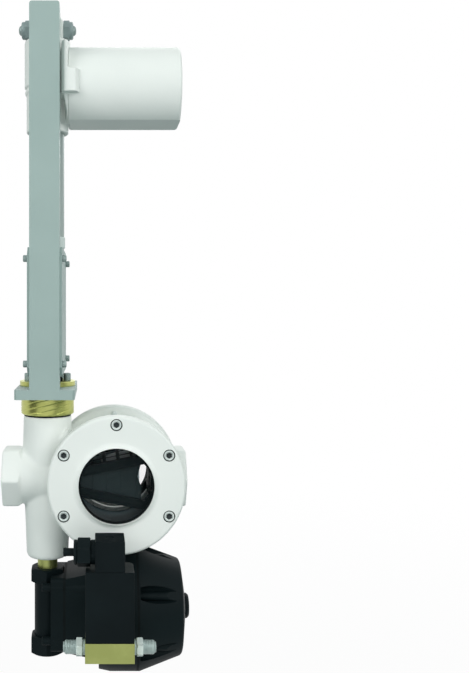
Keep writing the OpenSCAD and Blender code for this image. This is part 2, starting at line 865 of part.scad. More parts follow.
module drive_yoke() {
    w = plate_w / 2;
    d = yoke_depth / 2;
    c = plate_chamfer;
    color(grey) difference() {
        union() {
            translate([tube_x, 0, plate_z]) linear_extrude(plate_t) polygon([[-w + c, -d], [w - c, -d],
                [w, -d + c], [w, d - c], [w - c, d], [-w + c, d], [-w, d - c], [-w, -d + c]]);
            for (y = [-d + leg_t, d]) translate([tube_x, y, plate_top]) rotate([90, 0, 0]) leg();
        }
        translate([tube_x, 0, plate_z - over]) cylinder(r = skirt_r, h = plate_t + 2 * over);
        translate([tube_x, 0, plate_z - over]) polar(clamp_screw_n, clamp_pcd_r)
            cylinder(r = clamp_screw_r + 2 * fit, h = plate_t + 2 * over);
        guard_drillings(guard_screw_r + fit, guard_screw_hold);
    }
}

module head_block() {
    w = block_w / 2;
    h = leg_top - block_z;
    cut = block_cut;
    color(grey) difference() {
        translate([tube_x, gap_depth / 2, block_z]) rotate([90, 0, 0]) linear_extrude(gap_depth)
            polygon([[-w, 0], [w, 0], [w, h - cut], [w - cut, h], [-w + cut, h], [-w, h - cut]]);
        along_x(tube_x - block_w, bolt_z) cylinder(r = bolt_r + fit, h = 2 * block_w);
    }
}

module cross_bolt() {
    reach = nut_x + nut_h + lock_nut_h + bolt_end;
    c = bolt_chamfer;
    color(steel) along_x(tube_x - reach, bolt_z) rotate_extrude() polygon([[0, 0], [bolt_r - c, 0],
        [bolt_r, c], [bolt_r, 2 * reach - c], [bolt_r - c, 2 * reach], [0, 2 * reach]]);
}

module bolt_nut_pair() {
    difference() {
        rotate([0, 0, 30]) hexagon(bolt_nut_af, nut_h, 0, edge_cut);
        translate([0, 0, -over]) cylinder(r = bolt_r + fit, h = nut_h + 2 * over);
    }
    translate([0, 0, nut_h]) difference() {
        rotate([0, 0, 30 + lock_turn]) hexagon(bolt_nut_af - head_sunk, lock_nut_h, 0, edge_cut);
        translate([0, 0, -over]) cylinder(r = bolt_r + fit, h = lock_nut_h + 2 * over);
    }
}

module cross_bolt_nuts() {
    color(steel) {
        along_x(tube_x + nut_x, bolt_z) bolt_nut_pair();
        along_minus_x(tube_x - nut_x, bolt_z) bolt_nut_pair();
    }
}

// Ear that stands on the gear housing, its outer top edge cut off
module hanger_ear() {
    translate([0, ear_w / 2, housing_top]) rotate([90, 0, 0]) linear_extrude(ear_w) polygon([[0, -over],
        [ear_t, -over], [ear_t, ear_h - ear_cut_h], [ear_t - ear_cut, ear_h], [0, ear_h]]);
}

// Lug of the gear housing that steps round the front leg and over the drum's edge
module motor_lug() {
    inner_y = gap_depth / 2 - lug_gap;
    outer_x = tube_x + leg_w / 2 + lug_gap;
    end_x = motor_x + lug_over;
    h = lug_low + lug_high;
    translate([tube_x, -inner_y, motor_z - lug_low]) cube([end_x - tube_x, inner_y, h]);
    front = motor_r + lug_out;
    translate([0, 0, motor_z - lug_low]) linear_extrude(h) polygon([[outer_x, 0], [outer_x, -front + lug_cut_y],
        [outer_x + lug_cut_x, -front], [end_x - lug_slope_x, -front], [end_x, -front + lug_slope_y], [end_x, 0]]);
}

module motor_web() {
    intersection() {
        along_x(motor_x - web_reach, motor_z) cylinder(r = motor_r - fit, h = web_reach);
        translate([motor_x, motor_r, motor_z]) rotate([90, 0, 0]) linear_extrude(2 * motor_r) polygon([[0, 0],
            [-web_reach, 0], [-web_knee_x, -web_knee_z], [-web_foot, -motor_flat], [0, -motor_flat]]);
    }
}

module gear_housing() {
    color(white) difference() {
        union() {
            translate([tube_x, 0, step_z]) rotate_extrude() polygon([[0, 0], [gear_r, 0],
                [gear_r, gear_h - edge_cut], [gear_r - edge_cut, gear_h], [0, gear_h]]);
            translate([tube_x, 0, housing_z]) cylinder(r = collar_r, h = collar_h + over);
            translate([tube_x + ear_x, 0, 0]) hanger_ear();
            translate([tube_x - ear_x, 0, 0]) mirror([1, 0, 0]) hanger_ear();
            along_x(motor_x - motor_plate_t, motor_z) cylinder(r = motor_plate_r, h = motor_plate_t);
            motor_lug();
            motor_web();
        }
        along_x(motor_x, motor_z) cylinder(r = motor_r + fit, h = motor_len);
        along_x(tube_x - 2 * gear_r, bolt_z) cylinder(r = bolt_r + fit, h = 4 * gear_r);
        translate([tube_x, 0, housing_z - over]) cylinder(r = guide_r + fit, h = guide_hold + over);
    }
}

module motor_drum() {
    big = 3 * motor_r;
    color(white) intersection() {
        along_x(motor_x, motor_z) rotate_extrude() polygon(concat([[0, 0]],
            arc(motor_r - back_round, back_round, back_round, -90, 0),
            arc(motor_r - motor_round, motor_len - motor_round, motor_round, 0, 90),
            [[0, motor_len]]));
        translate([motor_x - over, -big / 2, motor_z - motor_flat]) cube([motor_len + 2 * over, big, big]);
    }
}

module guide_tube() {
    color(grey) translate([tube_x, 0, guide_end])
        ring(guide_r, guide_r - guide_wall, guide_len + guide_hold - fit);
}

module guide_cap() {
    color(white) translate([tube_x, 0, cap_z]) difference() {
        union() {
            rotate_extrude() polygon([[0, 0], [cap_r - cap_chamfer, 0], [cap_r, cap_chamfer],
                [cap_r, cap_h], [0, cap_h]]);
            translate([0, 0, cap_h - over]) cylinder(r = guide_r - guide_wall - fit, h = cap_spigot + over);
        }
        translate([0, 0, -over]) cylinder(r = rod_r + running, h = cap_h + cap_spigot + 2 * over);
    }
}

module push_rod() {
    seat = coupling_top - coupling_hold;
    color(steel) difference() {
        translate([tube_x, 0, seat]) cylinder(r = rod_r, h = rod_top - seat);
        along_y(-coupling_r, tube_x, coupling_top - coupling_hold / 2)
            cylinder(r = pin_r + fit, h = 2 * coupling_r);
    }
}

module rod_bush() {
    color(black) translate([tube_x, 0, rod_top - rod_bush_h])
        ring(guide_r - guide_wall - soft, rod_r + fit, rod_bush_h);
}

module rod_coupling() {
    c = coupling_chamfer;
    color(white) translate([tube_x, 0, coupling_z]) difference() {
        rotate_extrude() polygon([[0, 0], [coupling_r - c, 0], [coupling_r, c],
            [coupling_r, coupling_h - c], [coupling_r - c, coupling_h], [0, coupling_h]]);
        translate([0, 0, -over]) cylinder(r = spindle_r + fit, h = coupling_hold + over);
        translate([0, 0, coupling_h - coupling_hold]) cylinder(r = rod_r + fit, h = coupling_hold + over);
        for (z = [coupling_hold / 2, coupling_h - coupling_hold / 2])
            along_y(-coupling_r - over, 0, z) cylinder(r = pin_r + fit, h = 2 * (coupling_r + over));
    }
}

module coupling_pins() {
    reach = coupling_r - pin_short;
    color(steel) for (z = [coupling_hold / 2, coupling_h - coupling_hold / 2])
        along_y(-reach, tube_x, coupling_z + z) cylinder(r = pin_r, h = 2 * reach);
}

module guard_sheet() {
    h = guard_h;
    d = guard_depth / 2;
    c = guard_cut;
    rotate([90, 0, 90]) linear_extrude(guard_t) polygon([[-d + c, 0], [d - c, 0], [d, c], [d, h - c],
        [d - c, h], [-d + c, h], [-d, h - c], [-d, c]]);
}

module left_guard() {
    color(grey) difference() {
        translate([tube_x - leg_w / 2 - guard_t, 0, guard_z]) guard_sheet();
        guard_drillings(guard_screw_r + 2 * fit, over);
    }
}

module right_guard() {
    color(grey) difference() {
        translate([tube_x + leg_w / 2, 0, guard_z]) guard_sheet();
        guard_drillings(guard_screw_r + 2 * fit, over);
    }
}

module guard_screws() {
    reach = leg_w / 2 + guard_t;
    length = guard_t + guard_screw_hold - pin_short;
    key = guard_head_r * key_share;
    color(steel) for (y = [-leg_mid, leg_mid], z = [guard_screw_z, guard_screw_z + guard_pitch]) {
        along_x(tube_x + reach, z, y) cap_screw(guard_screw_r, length, guard_head_r, guard_head_h, key);
        along_minus_x(tube_x - reach, z, y) cap_screw(guard_screw_r, length, guard_head_r, guard_head_h, key);
    }
}

module drain_nipple() {
    color(brass) translate([tube_x, 0, valve_top]) ring(nipple_r, nipple_bore, bore_floor - valve_top);
}

module upper_union_nut() {
    color(black) translate([tube_x, 0, union_z]) difference() {
        hexagon(union_af, union_h, union_chamfer, union_chamfer);
        translate([0, 0, -over]) cylinder(r = valve_r + fit, h = valve_top - union_z + over);
        translate([0, 0, -over]) cylinder(r = nipple_r + fit, h = union_h + 2 * over);
    }
}

module lower_union_nut() {
    color(black) translate([tube_x, 0, valve_end]) difference() {
        hexagon(union_af, lower_union_h, union_chamfer, union_chamfer);
        translate([0, 0, -over]) cylinder(r = valve_r + fit, h = lower_union_h + 2 * over);
    }
}

// Plate across the valve's axis, with its own Z along +X
module valve_plate(h) {
    a = valve_plate_half - plate_round;
    b = valve_plate_deep - plate_round;
    linear_extrude(h) polygon(concat(arc(a, b, plate_round, 0, 90), arc(-a, b, plate_round, 90, 180),
        arc(-a, -b, plate_round, 180, 270), arc(a, -b, plate_round, 270, 360)));
}

module valve_body() {
    color(black) difference() {
        union() {
            difference() {
                along_x(valve_plate_x, valve_z) {
                    valve_plate(valve_plate_t);
                    at_ties() cylinder(r = tie_boss_r, h = valve_plate_t);
                }
                translate([tube_x, 0, union_z - relief]) cylinder(r = relief_r, h = foot_drop);
                translate([tube_x, 0, valve_end - over])
                    cylinder(r = relief_r, h = lower_union_h + over + relief);
            }
            translate([tube_x, 0, valve_end]) cylinder(r = valve_r, h = valve_top - valve_end);
        }
        translate([tube_x, 0, valve_z + seat_port - port_wall])
            cylinder(r = nipple_bore, h = valve_top - valve_z);
        translate([tube_x, 0, valve_end])
            cylinder(r = nipple_bore, h = valve_z - seat_port + port_wall - valve_end);
        translate([tube_x, 0, valve_end - over]) cylinder(r = socket_r, h = socket_deep + over);
        for (z = [-seat_port, seat_port]) along_x(tube_x, valve_z + z)
            cylinder(r = port_wall, h = flow_x - tube_x);
        along_x(flow_x - seat_deep, valve_z) cylinder(r = seat_r, h = seat_deep + over);
        along_x(valve_plate_x - over, valve_z) at_ties()
            cylinder(r = tie_r + fit, h = valve_plate_t + 2 * over);
    }
}

module tie_bolts() {
    length = valve_plate_t + flow_diaphragm_t + tie_hold;
    color(black) along_minus_x(valve_plate_x, valve_z) at_ties()
        cap_screw(tie_r, length, tie_head_r, tie_head_h, tie_head_r * key_share);
}

module flow_diaphragm() {
    color(rubber) along_x(flow_x, valve_z) difference() {
        valve_plate(flow_diaphragm_t);
        translate([0, 0, -over]) at_ties() cylinder(r = tie_r + fit, h = flow_diaphragm_t + 2 * over);
    }
}

module spacer_body() {
    a = valve_plate_half;
    b = spacer_half;
    d = valve_plate_deep;
    color(black) difference() {
        union() {
            translate([spacer_x, d, valve_z]) rotate([90, 0, 0]) linear_extrude(2 * d)
                polygon([[0, -a], [spacer_len, -b], [spacer_len, b], [0, a]]);
            along_x(spacer_x, valve_z) at_ties()
                cylinder(r1 = tie_boss_r, r2 = tie_boss_end_r, h = spacer_len);
        }
        along_x(spacer_x - over, valve_z) cylinder(r = compressor_r + 2, h = compressor_space + over);
        along_x(spacer_x, valve_z) cylinder(r = stem_r + running, h = spacer_len + over);
        along_x(spacer_x - over, valve_z) at_ties() cylinder(r = tie_r + fit, h = tie_hold + 2 * over);
    }
}

module actuator_base() {
    color(black) difference() {
        union() {
            along_x(base_x, valve_z) rotate_extrude() polygon([[0, 0], [actuator_r - base_cone, 0],
                [actuator_r, base_chamfer], [actuator_r, base_len], [0, base_len]]);
            translate([feed_x, -actuator_r / 2, fitting_z]) rotate([90, 0, 0])
                cylinder(r = feed_pad_r, h = actuator_r / 2 + pad_out);
        }
        along_x(base_x - over, valve_z) cylinder(r = stem_r + running, h = base_len + 2 * over);
        along_x(base_x + base_floor, valve_z) cylinder(r = actuator_space_r, h = base_len);
        along_x(base_x - over, valve_z) polar(actuator_screw_n, actuator_pcd_r)
            cylinder(r = actuator_screw_r + fit, h = base_len + 2 * over);
        along_x(base_x - over, valve_z) polar(actuator_screw_n, actuator_pcd_r)
            cylinder(r = actuator_head_r + fit, h = actuator_head_h + over + head_sink);
        translate([feed_x, -actuator_r - pad_out - over, fitting_z]) rotate([-90, 0, 0])
            cylinder(r = feed_r + fit, h = feed_hold + over);
        translate([feed_x, -actuator_r, fitting_z]) rotate([-90, 0, 0])
            cylinder(r = feed_bore, h = actuator_r);
    }
}

module control_diaphragm() {
    color(rubber) along_x(control_x, valve_z) difference() {
        ring(actuator_r, stem_r + soft, control_diaphragm_t);
        translate([0, 0, -over]) polar(actuator_screw_n, actuator_pcd_r)
            cylinder(r = actuator_screw_r + fit, h = control_diaphragm_t + 2 * over);
    }
}

module bonnet() {
    color(black) along_x(bonnet_x, valve_z) difference() {
        rotate_extrude() polygon(concat([[0, 0], [actuator_r, 0], [actuator_r, bonnet_rim]],
            arc(bonnet_end_r - bonnet_edge, bonnet_shoulder, bonnet_edge, 15, 75),
            [[indicator_r, bonnet_len], [0, bonnet_len]]));
        translate([0, 0, -over]) cylinder(r = actuator_space_r, h = bonnet_len - bonnet_roof + over);
        cylinder(r = cap_hole_r, h = bonnet_len + over);
        translate([0, 0, -over]) polar(actuator_screw_n, actuator_pcd_r)
            cylinder(r = actuator_screw_r + fit, h = tower_hold + over);
        difference() {
            translate([0, 0, tower_start]) polar(actuator_screw_n, tower_groove_pcd_r)
                cylinder(r = tower_groove_r, h = bonnet_len);
            polar(actuator_screw_n, actuator_pcd_r) cylinder(r = tower_r, h = bonnet_len + tower_start);
        }
    }
}

module actuator_screws() {
    sunk = actuator_head_h + head_sink;
    length = base_len - sunk + control_diaphragm_t + tower_hold - over;
    key = actuator_head_r * key_share;
    color(steel) along_minus_x(base_x + sunk, valve_z) polar(actuator_screw_n, actuator_pcd_r, 180)
        cap_screw(actuator_screw_r, length, actuator_head_r, actuator_head_h, key);
}

module valve_stem() {
    color(steel) {
        along_x(spacer_x + soft, valve_z) cylinder(r = compressor_r, h = compressor_h);
        along_x(spacer_x + over, valve_z) cylinder(r = stem_r, h = stem_end - spacer_x - over);
        along_x(control_x - soft - lower_disc_h, valve_z) cylinder(r = plate_disc_r, h = lower_disc_h);
        along_x(bonnet_x + soft, valve_z) cylinder(r = plate_disc_r, h = upper_disc_h);
    }
}

// Coil spring swept along its helix, as one closed tube
module return_spring() {
    sides = 8;
    per_turn = 24;
    steps = spring_turns * per_turn;
    rise = (spring_x1 - spring_x0) / steps;
    points = [for (i = [0:steps], k = [0:sides - 1]) let (a = i * 360 / per_turn, b = k * 360 / sides,
        r = spring_r + spring_wire_r * cos(b)) [r * cos(a), r * sin(a), i * rise + spring_wire_r * sin(b)]];
    walls = [for (i = [0:steps - 1], k = [0:sides - 1]) let (n = (k + 1) % sides)
        [i * sides + k, i * sides + n, (i + 1) * sides + n, (i + 1) * sides + k]];
    ends = [[for (k = [sides - 1:-1:0]) k], [for (k = [0:sides - 1]) steps * sides + k]];
    color(steel) along_x(spring_x0, valve_z) polyhedron(points, concat(walls, ends), convexity = 10);
}

module indicator_cap() {
    color(black) along_x(bonnet_end, valve_z) {
        rotate_extrude() polygon([[0, 0], [indicator_r, 0], [indicator_r, indicator_h - indicator_chamfer],
            [indicator_r - indicator_chamfer, indicator_h], [0, indicator_h]]);
        translate([0, 0, -bonnet_roof]) cylinder(r = cap_hole_r - fit, h = bonnet_roof + over);
    }
}

module pilot_nipple() {
    span = pilot_gap - pad_out;
    color(brass) translate([feed_x, -actuator_r - pad_out, fitting_z]) rotate([90, 0, 0]) difference() {
        union() {
            hexagon(feed_hex, span, edge_cut, edge_cut);
            translate([0, 0, -feed_hold + fit]) cylinder(r = feed_r, h = span + 2 * (feed_hold - fit));
        }
        translate([0, 0, -feed_hold - over]) cylinder(r = feed_bore, h = span + 2 * (feed_hold + over));
    }
}

module pilot_block() {
    color(brass) difference() {
        translate([pilot_left, pilot_front, pilot_z]) cube([pilot_w, pilot_depth, pilot_h]);
        translate([feed_x, pilot_back + over, fitting_z]) rotate([90, 0, 0])
            cylinder(r = feed_r + fit, h = feed_hold + over);
        along_x(pilot_left - over, fitting_z, pilot_y)
            cylinder(r = fitting_stub_r + fit, h = fitting_hold + over);
        along_x(pilot_left + pilot_w - fitting_hold, fitting_z, pilot_y)
            cylinder(r = fitting_stub_r + fit, h = fitting_hold + over);
        translate([pilot_mid, pilot_y, pilot_top - pilot_pocket])
            cylinder(r = core_r - core_wall + soft, h = pilot_pocket + over);
    }
}

module solenoid_coil() {
    w = pilot_w / 2 - coil_ease;
    d = pilot_depth / 2;
    r = coil_round;
    color(black) translate([pilot_mid, pilot_y, pilot_top]) difference() {
        linear_extrude(coil_h) polygon(concat([[-w, -d], [w, -d]],
            arc(w - r, d - r, r, 0, 90), arc(-w + r, d - r, r, 90, 180)));
        translate([0, 0, -over]) cylinder(r = core_r + fit, h = core_h + over);
    }
}

module core_tube() {
    color(steel) translate([pilot_mid, pilot_y, pilot_top]) difference() {
        cylinder(r = core_r, h = core_h - fit);
        translate([0, 0, -over]) cylinder(r = core_r - core_wall, h = core_h - core_plug);
    }
}

module armature() {
    color(steel) translate([pilot_mid, pilot_y, pilot_top - armature_seat])
        cylinder(r = core_r - core_wall - running, h = core_h - core_plug - armature_travel - over);
}

module coil_plug() {
    color(black) difference() {
        translate([plug_left, pilot_front, coil_top]) cube([plug_w, pilot_depth, plug_h]);
        along_x(plug_left - over, gland_z, pilot_y) cylinder(r = gland_neck_r + fit, h = gland_neck + over);
        translate([plug_left + plug_w / 2, pilot_y, plug_top - plug_screw_sunk]) {
            translate([0, 0, -plug_screw_len - soft]) cylinder(r = plug_screw_r + fit, h = plug_h);
            cylinder(r = plug_screw_head_r + 2 * fit, h = plug_h);
        }
    }
}

module plug_screw() {
    color(steel) translate([plug_left + plug_w / 2, pilot_y, plug_top - plug_screw_sunk]) difference() {
        union() {
            cylinder(r = plug_screw_head_r, h = plug_screw_head_h);
            translate([0, 0, -plug_screw_len]) cylinder(r = plug_screw_r, h = plug_screw_len + over);
        }
        translate([-plug_screw_head_r - over, -slot_w / 2, plug_screw_head_h - slot_deep])
            cube([2 * (plug_screw_head_r + over), slot_w, 2 * slot_deep]);
    }
}

module gland_nut() {
    body = gland_len - gland_ring;
    color(black) along_minus_x(plug_left, gland_z, pilot_y) difference() {
        union() {
            translate([0, 0, -gland_neck + fit]) cylinder(r = gland_neck_r, h = gland_neck);
            cylinder(r = gland_ring_r, h = gland_ring);
            translate([0, 0, gland_ring]) hexagon(gland_r * sqrt(3), body, gland_chamfer, gland_chamfer);
            translate([0, 0, gland_len - over]) cylinder(r = gland_front_r, h = gland_front + over);
        }
        translate([0, 0, gland_len - pin_hold])
            cylinder(r = gland_pin_r + fit, h = pin_hold + gland_front + over);
    }
}

module gland_pin() {
    h = gland_pin_len;
    c = pin_chamfer;
    color(black) along_minus_x(plug_left - gland_len + pin_hold, gland_z, pilot_y)
        rotate_extrude() polygon([[0, 0], [gland_pin_r, 0], [gland_pin_r, h - c], [gland_pin_r - c, h],
            [0, h]]);
}

// Both sides of the brass block, each with its own Z pointing outwards
module at_fittings() {
    along_x(pilot_left + pilot_w, fitting_z, pilot_y) children();
    along_minus_x(pilot_left, fitting_z, pilot_y) children();
}

module tube_fittings() {
    color(grey) at_fittings() difference() {
        union() {
            translate([0, 0, -fitting_hold + fit]) cylinder(r = fitting_stub_r, h = fitting_hold);
            cylinder(r = fitting_r + collar_step, h = collar_len);
            cylinder(r = fitting_r, h = fitting_len);
        }
        translate([0, 0, fitting_len - collet_len]) cylinder(r = collet_r + fit, h = collet_len + over);
        translate([0, 0, -fitting_hold - over]) cylinder(r = fitting_bore, h = fitting_hold + fitting_len);
    }
}

module fitting_nuts() {
    color(white) at_fittings() translate([0, 0, collar_len]) difference() {
        hexagon(fitting_nut_af, fitting_nut_len, nut_chamfer, nut_chamfer);
        translate([0, 0, -over]) cylinder(r = fitting_r + fit, h = fitting_nut_len + 2 * over);
    }
}

module fitting_collets() {
    color(grey) at_fittings() translate([0, 0, fitting_len - collet_len])
        ring(collet_r, tube_od_r, collet_len + collet_out);
}

filter_body();
front_flange();
rear_flange();
front_glass();
rear_glass();
glass_gaskets();
flange_screws();
chamber_liner();
sieve_cage();
sieve_screen();
head_gasket();
brass_head();
clamp_ring();
clamp_screws();
rod_wiper();
spindle();
spool();
spool_seals();
drive_yoke();
head_block();
cross_bolt();
cross_bolt_nuts();
gear_housing();
motor_drum();
guide_tube();
guide_cap();
push_rod();
rod_bush();
rod_coupling();
coupling_pins();
left_guard();
right_guard();
guard_screws();
drain_nipple();
upper_union_nut();
lower_union_nut();
valve_body();
tie_bolts();
flow_diaphragm();
spacer_body();
actuator_base();
control_diaphragm();
bonnet();
actuator_screws();
valve_stem();
return_spring();
indicator_cap();
pilot_nipple();
pilot_block();
solenoid_coil();
core_tube();
armature();
coil_plug();
plug_screw();
gland_nut();
gland_pin();
tube_fittings();
fitting_nuts();
fitting_collets();
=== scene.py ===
import json
import math
import bmesh
import bpy
from mathutils import Matrix, Vector


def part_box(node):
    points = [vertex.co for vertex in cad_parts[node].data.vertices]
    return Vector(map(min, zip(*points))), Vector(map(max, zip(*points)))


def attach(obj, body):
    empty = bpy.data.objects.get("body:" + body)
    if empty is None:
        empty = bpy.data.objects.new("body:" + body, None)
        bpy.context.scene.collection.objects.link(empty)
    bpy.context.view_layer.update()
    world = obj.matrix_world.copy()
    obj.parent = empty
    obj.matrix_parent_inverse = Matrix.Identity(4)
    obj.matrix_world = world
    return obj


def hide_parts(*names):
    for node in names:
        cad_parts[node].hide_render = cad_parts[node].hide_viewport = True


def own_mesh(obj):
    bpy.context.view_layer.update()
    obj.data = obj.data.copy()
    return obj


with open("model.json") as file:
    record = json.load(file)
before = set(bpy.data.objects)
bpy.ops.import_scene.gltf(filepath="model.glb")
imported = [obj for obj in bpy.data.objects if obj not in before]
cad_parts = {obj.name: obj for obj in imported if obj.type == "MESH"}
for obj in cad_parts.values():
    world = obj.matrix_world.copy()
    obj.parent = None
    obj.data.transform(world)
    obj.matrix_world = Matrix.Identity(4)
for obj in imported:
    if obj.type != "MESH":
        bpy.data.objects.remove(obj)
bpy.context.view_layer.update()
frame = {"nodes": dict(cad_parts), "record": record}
nodes = frame["nodes"]
bodyOf = {name: body for body, names in frame["record"]["behaviour"]["bodies"].items() for name in names}
print("frame loaded:", len(nodes), "nodes")


class Wire:
    # one output socket; maths on it adds Math nodes to its tree
    def __init__(self, tree, out=None):
        self.tree = tree
        self.out = out

    def add(self, kind, settings=None, values=None, output=0):
        made = self.tree.nodes.new(kind)
        for name, value in (settings or {}).items():
            setattr(made, name, value)
        for name, value in (values or {}).items():
            if isinstance(value, Wire):
                self.tree.links.new(value.out, made.inputs[name])
            else:
                made.inputs[name].default_value = value
        return Wire(self.tree, made.outputs[output] if len(made.outputs) else None)

    def maths(self, operation, first, second):
        return self.add("ShaderNodeMath", {"operation": operation}, {0: first, 1: second})

    def __add__(self, other):
        return self.maths("ADD", self, other)

    def __radd__(self, other):
        return self.maths("ADD", other, self)

    def __mul__(self, other):
        return self.maths("MULTIPLY", self, other)

    def __rmul__(self, other):
        return self.maths("MULTIPLY", other, self)


def srgb(r, g, b):
    # a colour as an eye-dropper reads it, made linear
    parts = [c / 255 for c in (r, g, b)]
    return tuple(p / 12.92 if p <= 0.04 else ((p + 0.055) / 1.055) ** 2.4 for p in parts) + (1,)


def newTree(name):
    made = bpy.data.materials.new(name)
    made.use_nodes = True
    made.node_tree.nodes.clear()
    return made, Wire(made.node_tree)


def closeTree(tree, shader):
    tree.add("ShaderNodeOutputMaterial", None, {"Surface": shader})


def grainOf(tree, scale, detail=3.0, stretch=(1, 1, 1)):
    # a noise value on Object coordinates, in lumps per metre
    place = tree.add("ShaderNodeTexCoord", output=3)
    placed = tree.add("ShaderNodeMapping", None, {"Vector": place, "Scale": stretch})
    return tree.add("ShaderNodeTexNoise", None, {
        "Vector": placed, "Scale": scale, "Detail": detail, "Roughness": 0.55})


def tone(tree, mask, dark, light):
    return tree.add("ShaderNodeMix", {"data_type": "RGBA"}, {0: mask, 6: dark, 7: light}, 2)


def contrast(tree, value, low, high):
    return tree.add("ShaderNodeMapRange", {"interpolation_type": "SMOOTHSTEP"},
                    {"Value": value, "From Min": low, "From Max": high})


def bump(tree, height, distance, strength):
    return tree.add("ShaderNodeBump", None, {"Height": height, "Distance": distance, "Strength": strength})


# Enamel on castings and sheet: slight orange peel, a faint cloudiness and a soft sheen
def enamel(name, look):
    made, tree = newTree(name)
    cloud = contrast(tree, grainOf(tree, look["cloudScale"]), 0.3, 0.7)
    colour = tone(tree, cloud, look["shade"], look["light"])
    peel = bump(tree, grainOf(tree, look["peelScale"], 2.0), look["peelDepth"], 0.6)
    rough = look["rough"] + 0.08 * grainOf(tree, look["cloudScale"] * 6)
    shader = tree.add("ShaderNodeBsdfPrincipled", None, {
        "Base Color": colour, "Roughness": rough, "Normal": peel,
        "Specular IOR Level": look["sheen"], "IOR": 1.5})
    closeTree(tree, shader)
    return made


# Turned or milled metal: fine streaks across its axis and a few dull patches
def machined(name, look):
    made, tree = newTree(name)
    streak = grainOf(tree, look["streakScale"], 4.0, look["stretch"])
    patch = contrast(tree, grainOf(tree, look["patchScale"]), 0.35, 0.75)
    colour = tone(tree, patch, look["dark"], look["light"])
    rough = look["rough"] + 0.22 * streak + 0.08 * patch
    shader = tree.add("ShaderNodeBsdfPrincipled", None, {
        "Base Color": colour, "Metallic": look["metal"], "Roughness": rough,
        "Normal": bump(tree, streak, look["depth"], 0.5)})
    closeTree(tree, shader)
    return made


# Moulded plastic: fine spark-eroded grain, with duller and shinier areas
def moulded(name, look):
    made, tree = newTree(name)
    grain = grainOf(tree, look["grainScale"], 2.0)
    patch = contrast(tree, grainOf(tree, look["patchScale"]), 0.3, 0.7)
    colour = tone(tree, patch, look["dark"], look["light"])
    rough = look["rough"] + 0.1 * patch + 0.08 * grain
    shader = tree.add("ShaderNodeBsdfPrincipled", None, {
        "Base Color": colour, "Roughness": rough, "Normal": bump(tree, grain, look["grainDepth"], 0.55),
        "IOR": 1.49, "Specular IOR Level": look["sheen"]})
    closeTree(tree, shader)
    return made


def clearGlass(name, look):
    made, tree = newTree(name)
    smear = contrast(tree, grainOf(tree, look["smearScale"], 3.0), 0.4, 0.8)
    gloss = tree.add("ShaderNodeBsdfPrincipled", None, {
        "Base Color": look["tint"], "Roughness": look["rough"] + 0.05 * smear, "IOR": 1.45,
        "Alpha": look["film"] + 0.03 * smear})
    closeTree(tree, gloss)
    return made


whiteEnamel = {"light": srgb(243, 245, 241), "shade": srgb(238, 241, 237), "cloudScale": 9, "peelScale": 900,
               "peelDepth": 0.00012, "rough": 0.42, "sheen": 0.2}
greyEnamel = {"light": srgb(166, 184, 180), "shade": srgb(161, 179, 175), "cloudScale": 12, "peelScale": 1100,
              "peelDepth": 0.0001, "rough": 0.44, "sheen": 0.2}
oliveBrass = {"light": srgb(198, 201, 124), "dark": srgb(178, 183, 104), "streakScale": 260, "stretch": (1, 1, 9),
              "patchScale": 40, "rough": 0.2, "metal": 0.85, "depth": 0.00003}
dullBrass = {"light": srgb(172, 180, 112), "dark": srgb(152, 160, 95), "streakScale": 260, "stretch": (9, 1, 1),
             "patchScale": 40, "rough": 0.24, "metal": 0.85, "depth": 0.00003}
boltSteel = {"light": srgb(150, 166, 164), "dark": srgb(122, 138, 137), "streakScale": 420, "stretch": (1, 1, 3),
             "patchScale": 90, "rough": 0.3, "metal": 0.6, "depth": 0.00003}
brightSteel = {"light": srgb(226, 233, 230), "dark": srgb(206, 215, 212), "streakScale": 600, "stretch": (1, 1, 1),
               "patchScale": 110, "rough": 0.34, "metal": 0.35, "depth": 0.00002}
# painted shade: this dark colour of the key-socket linings stands in for the shade inside the sockets
socketShadeColour = {"light": srgb(66, 76, 78), "dark": srgb(52, 61, 63), "streakScale": 600, "stretch": (1, 1, 1),
               "patchScale": 110, "rough": 0.5, "metal": 0.2, "depth": 0.00002}
satinSteel = {"light": srgb(152, 168, 165), "dark": srgb(132, 148, 146), "streakScale": 500, "stretch": (1, 1, 4),
              "patchScale": 100, "rough": 0.38, "metal": 0.5, "depth": 0.00002}
nutSteel = {"light": srgb(143, 160, 159), "dark": srgb(131, 147, 147), "streakScale": 500, "stretch": (4, 1, 1),
            "patchScale": 100, "rough": 0.36, "metal": 0.2, "depth": 0.00002}
# the mesh's pale colour is partly its steel and partly painted light, for the light seen through the sieve's slots
meshSteelPaintedLight = {"light": srgb(176, 196, 201), "dark": srgb(156, 174, 179), "streakScale": 2400, "stretch": (1, 1, 1),
             "patchScale": 200, "rough": 0.4, "metal": 0.3, "depth": 0.0001}
tubeSteel = {"light": srgb(168, 182, 178), "dark": srgb(152, 166, 163), "streakScale": 300, "stretch": (1, 1, 0.05),
             "patchScale": 25, "rough": 0.34, "metal": 0.6, "depth": 0.00002}
nickel = {"light": srgb(168, 184, 181), "dark": srgb(150, 166, 163), "streakScale": 500, "stretch": (9, 1, 1),
          "patchScale": 120, "rough": 0.3, "metal": 0.5, "depth": 0.00002}
blackPlastic = {"light": srgb(20, 30, 32), "dark": srgb(14, 23, 25), "grainScale": 1500, "grainDepth": 0.00006,
                "patchScale": 16, "rough": 0.46, "sheen": 0.08}
coilPlastic = {"light": srgb(20, 28, 30), "dark": srgb(15, 22, 24), "grainScale": 1800, "grainDepth": 0.00004,
               "patchScale": 20, "rough": 0.3, "sheen": 0.06}
sievePlastic = {"light": srgb(44, 55, 57), "dark": srgb(38, 48, 50), "grainScale": 1400, "grainDepth": 0.00004,
                "patchScale": 30, "rough": 0.5, "sheen": 0.1}
# painted light: the slotted upper and lower panels are a lighter copy of the sieve plastic, standing in for the light
# that falls on them from above
lidPaintedLight = {"light": srgb(76, 93, 97), "dark": srgb(68, 84, 88), "grainScale": 1400, "grainDepth": 0.00004,
              "patchScale": 30, "rough": 0.5, "sheen": 0.1}
